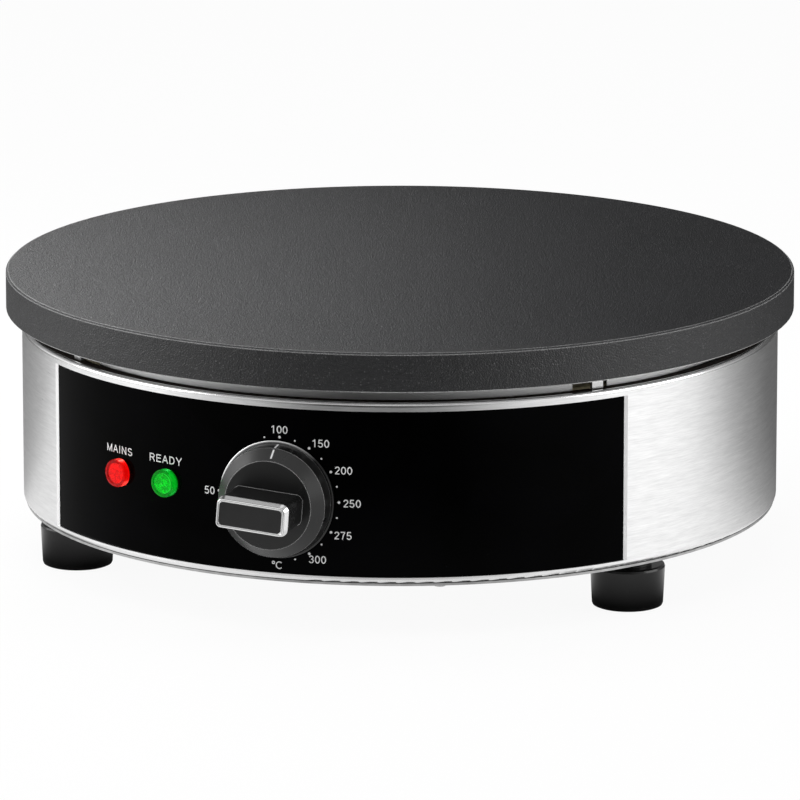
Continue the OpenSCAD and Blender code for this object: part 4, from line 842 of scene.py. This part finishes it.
def make_print():
    """Dial numbers and dots and the two lamp labels, as thin ink on the panel."""
    strokes = []
    for mark, x, y in DIAL_MARKS:
        strokes += strokes_of(mark, CAPITAL, (x * MM, y * MM))
    for lamp, label in ((RED_LAMP, "MAINS"), (GREEN_LAMP, "READY")):
        across = (azimuth(lamp) - KNOB_AZ) * PANEL_R
        strokes += strokes_of(label, CAPITAL, (across, lamp.z - KNOB.z + LABEL_UP), LABEL_GAP)
    values = {"Material": FINISHES["print_white"], "Stroke": STROKE, "Dots": DOTS,
              "Dot Circle": DOT_CIRCLE, "First Angle": DOT_START, "Step": DOT_STEP,
              "Low Dot Angle": LOW_DOT, "Small Dot": SMALL_DOT, "Big Dot": BIG_DOT,
              "Thickness": INK, "Panel Radius": PANEL_R + 0.6 * INK, "Azimuth": KNOB_AZ,
              "Centre": Vector((CENTRE.x, CENTRE.y, KNOB.z))}
    mesh = grown("panel_print", stroke_mesh(strokes), panel_print_tree(), values)
    piece("panel_print", mesh, "print_white", "machine")


# ---- knob ----
# Edges of the knob's skirt and bevel: radius round its own axis, distance out from the drum's axis.
SKIRT_BACK = (28.2 * MM, 192.3 * MM)
SKIRT_FRONT = (27.45 * MM, 199.2 * MM)
FACE_EDGE = (22.2 * MM, 205.2 * MM)
INDEX_TURN = radians(3.4)
INDEX_HALF = 0.42 * MM
INDEX_LIFT = 0.03 * MM
# Bead on the bezel's land.
BEZEL_FRONT = 191.9 * MM
BEAD_R = 28.75 * MM
BEAD_HALF = 0.75 * MM
BEAD_HIGH = 0.36 * MM
BEAD_SUNK = 0.3
# Rolled lip of the grip's frame: half sizes, corner radius, half thickness, distance out.
REST_TURN = radians(4.6)
LIP_WIDE = 16.65 * MM
LIP_HIGH = 6.5 * MM
LIP_BEND = 1.7 * MM
LIP_STEPS = 6
LIP_RADIUS = 0.68 * MM
LIP_OUT = 230.25 * MM


def between(a, b, share):
    return tuple(p + (q - p) * share for p, q in zip(a, b))


def make_knob_index():
    """White line over the knob's bevel and skirt; it turns with the knob."""
    place = outward(KNOB_AZ, KNOB.z, INDEX_TURN)
    lines = [(between(SKIRT_FRONT, FACE_EDGE, 0.78), between(SKIRT_FRONT, FACE_EDGE, 0.11)),
             (between(SKIRT_FRONT, SKIRT_BACK, 0.06), between(SKIRT_FRONT, SKIRT_BACK, 0.85))]
    work = bmesh.new()
    for (r0, k0), (r1, k1) in lines:
        along = Vector((r1 - r0, k1 - k0)).normalized()
        lift = Vector((abs(along.y), abs(along.x))) * INDEX_LIFT
        corners = []
        for r, k in ((r0, k0), (r1, k1)):
            for side in (-1, 1):
                for x in (-INDEX_HALF, INDEX_HALF):
                    spot = Vector((x, r + side * lift.x, k + side * lift.y))
                    corners.append(work.verts.new(place @ spot))
        for quad in ((0, 1, 3, 2), (4, 6, 7, 5), (0, 4, 5, 1), (2, 3, 7, 6), (0, 2, 6, 4), (1, 5, 7, 3)):
            work.faces.new([corners[k] for k in quad])
    bmesh.ops.recalc_face_normals(work, faces=work.faces)
    piece("knob_index", mesh_of("knob_index", work), "print_white", "knob")


def make_bezel_bead():
    """Half-round bead on the bezel's land, with a painted highlight of bright metal on its upper left."""
    place = outward(KNOB_AZ, KNOB.z)
    section = []
    for a in around(12):
        rise = BEAD_HIGH * sin(a) * (1.0 if sin(a) > 0 else BEAD_SUNK)
        section.append((BEAD_R + BEAD_HALF * cos(a), BEZEL_FRONT + rise))
    rings = [[place @ Vector((r * cos(turn), r * sin(turn), out)) for r, out in section]
             for turn in around(144)]
    ring_piece("bezel_bead", rings, "bezel_bead", "machine")


def make_grip_bead():
    """Rolled lip of the chrome frame, on a rounded rectangle round the grip's insert."""
    place = outward(KNOB_AZ, KNOB.z, REST_TURN)
    path = []
    for corner, (across, up) in enumerate(((1, 1), (-1, 1), (-1, -1), (1, -1))):
        bend = Vector((across * (LIP_WIDE - LIP_BEND), up * (LIP_HIGH - LIP_BEND)))
        for step in range(LIP_STEPS + 1):
            a = pi / 2 * (corner + step / LIP_STEPS)
            away = Vector((cos(a), sin(a)))
            path.append((bend + away * LIP_BEND, away))
    rings = []
    for spot, away in path:
        ring = []
        for a in around(12):
            flat = spot + away * LIP_RADIUS * cos(a)
            ring.append(place @ Vector((flat.x, flat.y, LIP_OUT + LIP_RADIUS * sin(a))))
        rings.append(ring)
    ring_piece("grip_bead", rings, "lip_chrome", "knob")


# ---- drum ----
RIM_LIFT = 0.03 * MM
RIM_DEPTH = 0.15 * MM
BEND_STEPS = 12


def make_rim_skin():
    """Skin over the drum's rolled top edge, finer round the drum than the frame's mesh."""
    bend = [pi / 2 * step / BEND_STEPS for step in range(BEND_STEPS + 1)]
    section = []
    for lift, angles in ((RIM_LIFT, bend), (-RIM_DEPTH, reversed(bend))):
        radius = DRUM_BEND + lift
        for a in angles:
            section.append((DRUM_R - DRUM_BEND + radius * cos(a),
                            DRUM_HIGH.z - DRUM_BEND + radius * sin(a)))
    rings = [[(CENTRE.x + r * sin(a), CENTRE.y - r * cos(a), z) for r, z in section]
             for a in around(360)]
    ring_piece("drum_rim_skin", rings, "drum_steel", "machine")


# ---- lamps ----
LENS_SEAT = 2.6 * MM


def make_lamp_facets():
    """Facetted reflector inside each lens."""
    tree = facet_tree()
    for name, lamp, colour in (("red", RED_LAMP, "lens_red"), ("green", GREEN_LAMP, "lens_green")):
        values = {"Material": FINISHES[colour], "Facets": 62, "Spacing": 0.6 * MM,
                  "Facet Radius": 0.58 * MM, "Facet Height": 0.5 * MM,
                  "Disc Radius": 4.95 * MM, "Disc Thickness": 0.04 * MM}
        mesh = grown(name + "_facets", bpy.data.meshes.new("none"), tree, values)
        place = outward(azimuth(lamp), lamp.z)
        mesh.transform(place @ Matrix.Translation((0, 0, PANEL_R + LENS_SEAT)))
        piece(name + "_lamp_facets", mesh, colour + "_glow", "machine")


# ---- studio ----
# Brightness that polished parts mirror, by degrees off the front: above the horizon, on the far
# floor and on the floor near the feet.
SKY_STOPS = [(-180, 0.05), (-150, 0.2), (-140, 0.24), (-130, 0.4), (-121, 0.78), (-115, 1.0), (-70, 1.0),
             (-33, 0.5), (-8, 0.04), (16, 0.04), (29, 0.15), (58, 0.9), (90, 0.97), (108, 1.0),
             (120, 0.92), (128, 0.62), (140, 0.36), (153, 0.16), (180, 0.03)]
FLOOR_STOPS = [(-180, 0.05), (-141, 0.1), (-118, 0.2), (-105, 0.37), (-95, 0.85), (-57, 1.0), (-26, 0.5),
               (-8, 0.02), (16, 0.02), (27, 0.16), (50, 0.9), (70, 0.97), (92, 1.0), (100, 0.86),
               (110, 0.55), (120, 0.28), (141, 0.04), (180, 0.02)]
NEAR_STOPS = [(-180, 0.0), (-110, 0.2), (-70, 0.85), (-43, 1.0), (-18, 0.92), (3, 0.78), (25, 0.8),
              (47, 1.0), (64, 1.0), (87, 0.95), (100, 0.66), (115, 0.3), (130, 0.05), (180, 0.0)]
NEAR_END = 0.5
NEAR_FULL = 0.33
FLOOR_R = 14.0
FLOOR_GREY = 0.92
SEEN_WHITE = 0.93
MIRRORED = 0.9
SHADOW_IN = 0.03
SHADOW_OUT = 0.07
SHADOW_LEVEL = 0.04


def cards(tree, angle, stops):
    """Brightness of the cards round the object, from -180 to 180 degrees off the front."""
    node = add(tree, "ShaderNodeValToRGB", {0: angle})
    ramp = node.color_ramp
    while len(ramp.elements) > 1:
        ramp.elements.remove(ramp.elements[-1])
    for k, (degrees, value) in enumerate(stops):
        spot = (degrees + 180) / 360
        stop = ramp.elements[0] if k == 0 else ramp.elements.new(spot)
        stop.position = spot
        stop.color = (value, value, value, 1)
    return add(tree, "ShaderNodeSeparateColor", {0: node.outputs[0]}).outputs[0]


def horizon_cards(tree, parts, stops):
    return cards(tree, spread(tree, bearing(tree, parts), -pi, pi), stops)


def mixed(tree, factor, a, b):
    return add(tree, "ShaderNodeMixShader", {0: factor, 1: a, 2: b}).outputs[0]


def shiny_ray(tree, paths):
    return calc(tree, "MAXIMUM", paths["Is Glossy Ray"], paths["Is Transmission Ray"])


def make_floor():
    """Pale paper, white to the camera; metal mirrors the cards on it, less close to a foot."""
    work = bmesh.new()
    bmesh.ops.create_circle(work, cap_ends=True, segments=96, radius=FLOOR_R)
    mesh = mesh_of("floor", work)
    floor = show("floor", mesh)
    material = bpy.data.materials.new("floor_paper")
    material.use_nodes = True
    tree = material.node_tree
    tree.nodes.clear()
    paths = add(tree, "ShaderNodeLightPath").outputs
    place = add(tree, "ShaderNodeTexCoord").outputs["Object"]
    parts = add(tree, "ShaderNodeSeparateXYZ", {0: place}).outputs
    far = measure(tree, "LENGTH", place)
    paper_colour = (FLOOR_GREY, FLOOR_GREY, FLOOR_GREY, 1)
    paper = add(tree, "ShaderNodeBsdfDiffuse", {"Color": paper_colour}).outputs[0]
    white = add(tree, "ShaderNodeEmission", {"Color": (1, 1, 1, 1)}).outputs[0]
    seen = calc(tree, "MULTIPLY", paths["Is Camera Ray"], SEEN_WHITE)
    near = calc(tree, "MULTIPLY", spread(tree, far, NEAR_END, NEAR_FULL),
                horizon_cards(tree, parts, NEAR_STOPS))
    level = calc(tree, "MAXIMUM", horizon_cards(tree, parts, FLOOR_STOPS), near)
    for foot in ("foot_left", "foot_right"):
        away = measure(tree, "DISTANCE", place, middle(foot))
        shadow = spread(tree, away, SHADOW_IN, SHADOW_OUT, SHADOW_LEVEL, 1.0)
        level = calc(tree, "MULTIPLY", level, shadow)
    mirrored = add(tree, "ShaderNodeEmission", {"Strength": level}).outputs[0]
    shiny = calc(tree, "MULTIPLY", shiny_ray(tree, paths), MIRRORED)
    front = mixed(tree, shiny, mixed(tree, seen, paper, white), mirrored)
    below = calc(tree, "MULTIPLY", add(tree, "ShaderNodeNewGeometry").outputs["Backfacing"],
                 paths["Is Camera Ray"])
    clear = add(tree, "ShaderNodeBsdfTransparent").outputs[0]
    add(tree, "ShaderNodeOutputMaterial", {0: mixed(tree, below, front, clear)})
    mesh.materials.append(material)


FILL = 0.3
CARD_TOP = radians(20)
SKY_FROM = radians(44)


def make_world():
    """White to the camera, an even fill on matt parts, and cards and a top light in polished ones."""
    world = bpy.data.worlds.new("studio")
    bpy.context.scene.world = world
    world.use_nodes = True
    tree = world.node_tree
    tree.nodes.clear()
    paths = add(tree, "ShaderNodeLightPath").outputs
    place = add(tree, "ShaderNodeTexCoord").outputs["Generated"]
    parts = add(tree, "ShaderNodeSeparateXYZ", {0: place}).outputs
    ring = horizon_cards(tree, parts, SKY_STOPS)
    above = spread(tree, parts[2], sin(CARD_TOP), sin(SKY_FROM))
    sky = spread(tree, parts[0], -1.0, 1.0, 0.95, 0.75)
    overhead = spread(tree, parts[2], 0.86, 0.94)
    front_sky = spread(tree, parts[1], 0.0, 0.45, 1.0, 0.06)
    sky = calc(tree, "MULTIPLY", sky, calc(tree, "MAXIMUM", overhead, front_sky))
    level = add(tree, "ShaderNodeMix", {0: above, 2: ring, 3: sky}).outputs[0]
    soft, lit, white = (
        add(tree, "ShaderNodeBackground", {"Color": (1, 1, 1, 1), "Strength": strength}).outputs[0]
        for strength in (FILL, level, 1.0))
    studio = mixed(tree, shiny_ray(tree, paths), soft, lit)
    add(tree, "ShaderNodeOutputWorld", {0: mixed(tree, paths["Is Camera Ray"], studio, white)})


def softbox(name, where, look_at, width, height, power, mirrored=True):
    """Area lamp of a size and a power in watts that faces a point."""
    lamp = bpy.data.lights.new(name, "AREA")
    lamp.shape = "RECTANGLE"
    lamp.size = width
    lamp.size_y = height
    lamp.energy = power
    made = show(name, lamp)
    made.location = where
    made.rotation_euler = (Vector(look_at) - Vector(where)).to_track_quat("-Z", "Y").to_euler()
    made.visible_camera = False
    made.visible_glossy = mirrored


def make_lights():
    softbox("left_softbox", (-1.9, -0.5, 1.0), (0, 0, 0.1), 1.8, 1.6, 24)
    softbox("right_softbox", (2.0, 0.1, 0.9), (0, 0, 0.08), 1.6, 1.4, 18)
    softbox("top_softbox", (-0.3, -0.2, 2.3), (0, 0, 0.1), 2.6, 2.6, 28, mirrored=False)
    softbox("back_card", (-0.45, 0.45, 0.55), (-0.1, -0.1, 0.14), 0.3, 0.3, 1.25)
    softbox("low_card", (-0.3, 0.32, 0.33), (-0.1, -0.15, 0.14), 0.5, 0.1, 0.14)


CAMERA_PLACE = (0.9340, -3.7654, 0.9918)
CAMERA_TILT = radians(76.72)
CAMERA_TURN = radians(13.9)
CAMERA_LENS = 352.6


def make_camera():
    """Long lens, a little right of the front and above the plate."""
    lens = bpy.data.cameras.new("camera")
    lens.lens = CAMERA_LENS
    lens.sensor_width = 36.0
    lens.clip_start = 0.05
    lens.clip_end = 60.0
    camera = show("camera", lens)
    camera.location = CAMERA_PLACE
    camera.rotation_euler = (CAMERA_TILT, 0.0, CAMERA_TURN)
    bpy.context.scene.camera = camera


make_camera()
make_finishes()
dress_nodes()
make_print()
make_knob_index()
make_bezel_bead()
make_grip_bead()
make_rim_skin()
make_lamp_facets()
make_floor()
make_world()
make_lights()
bpy.context.scene.view_settings.view_transform = "Standard"
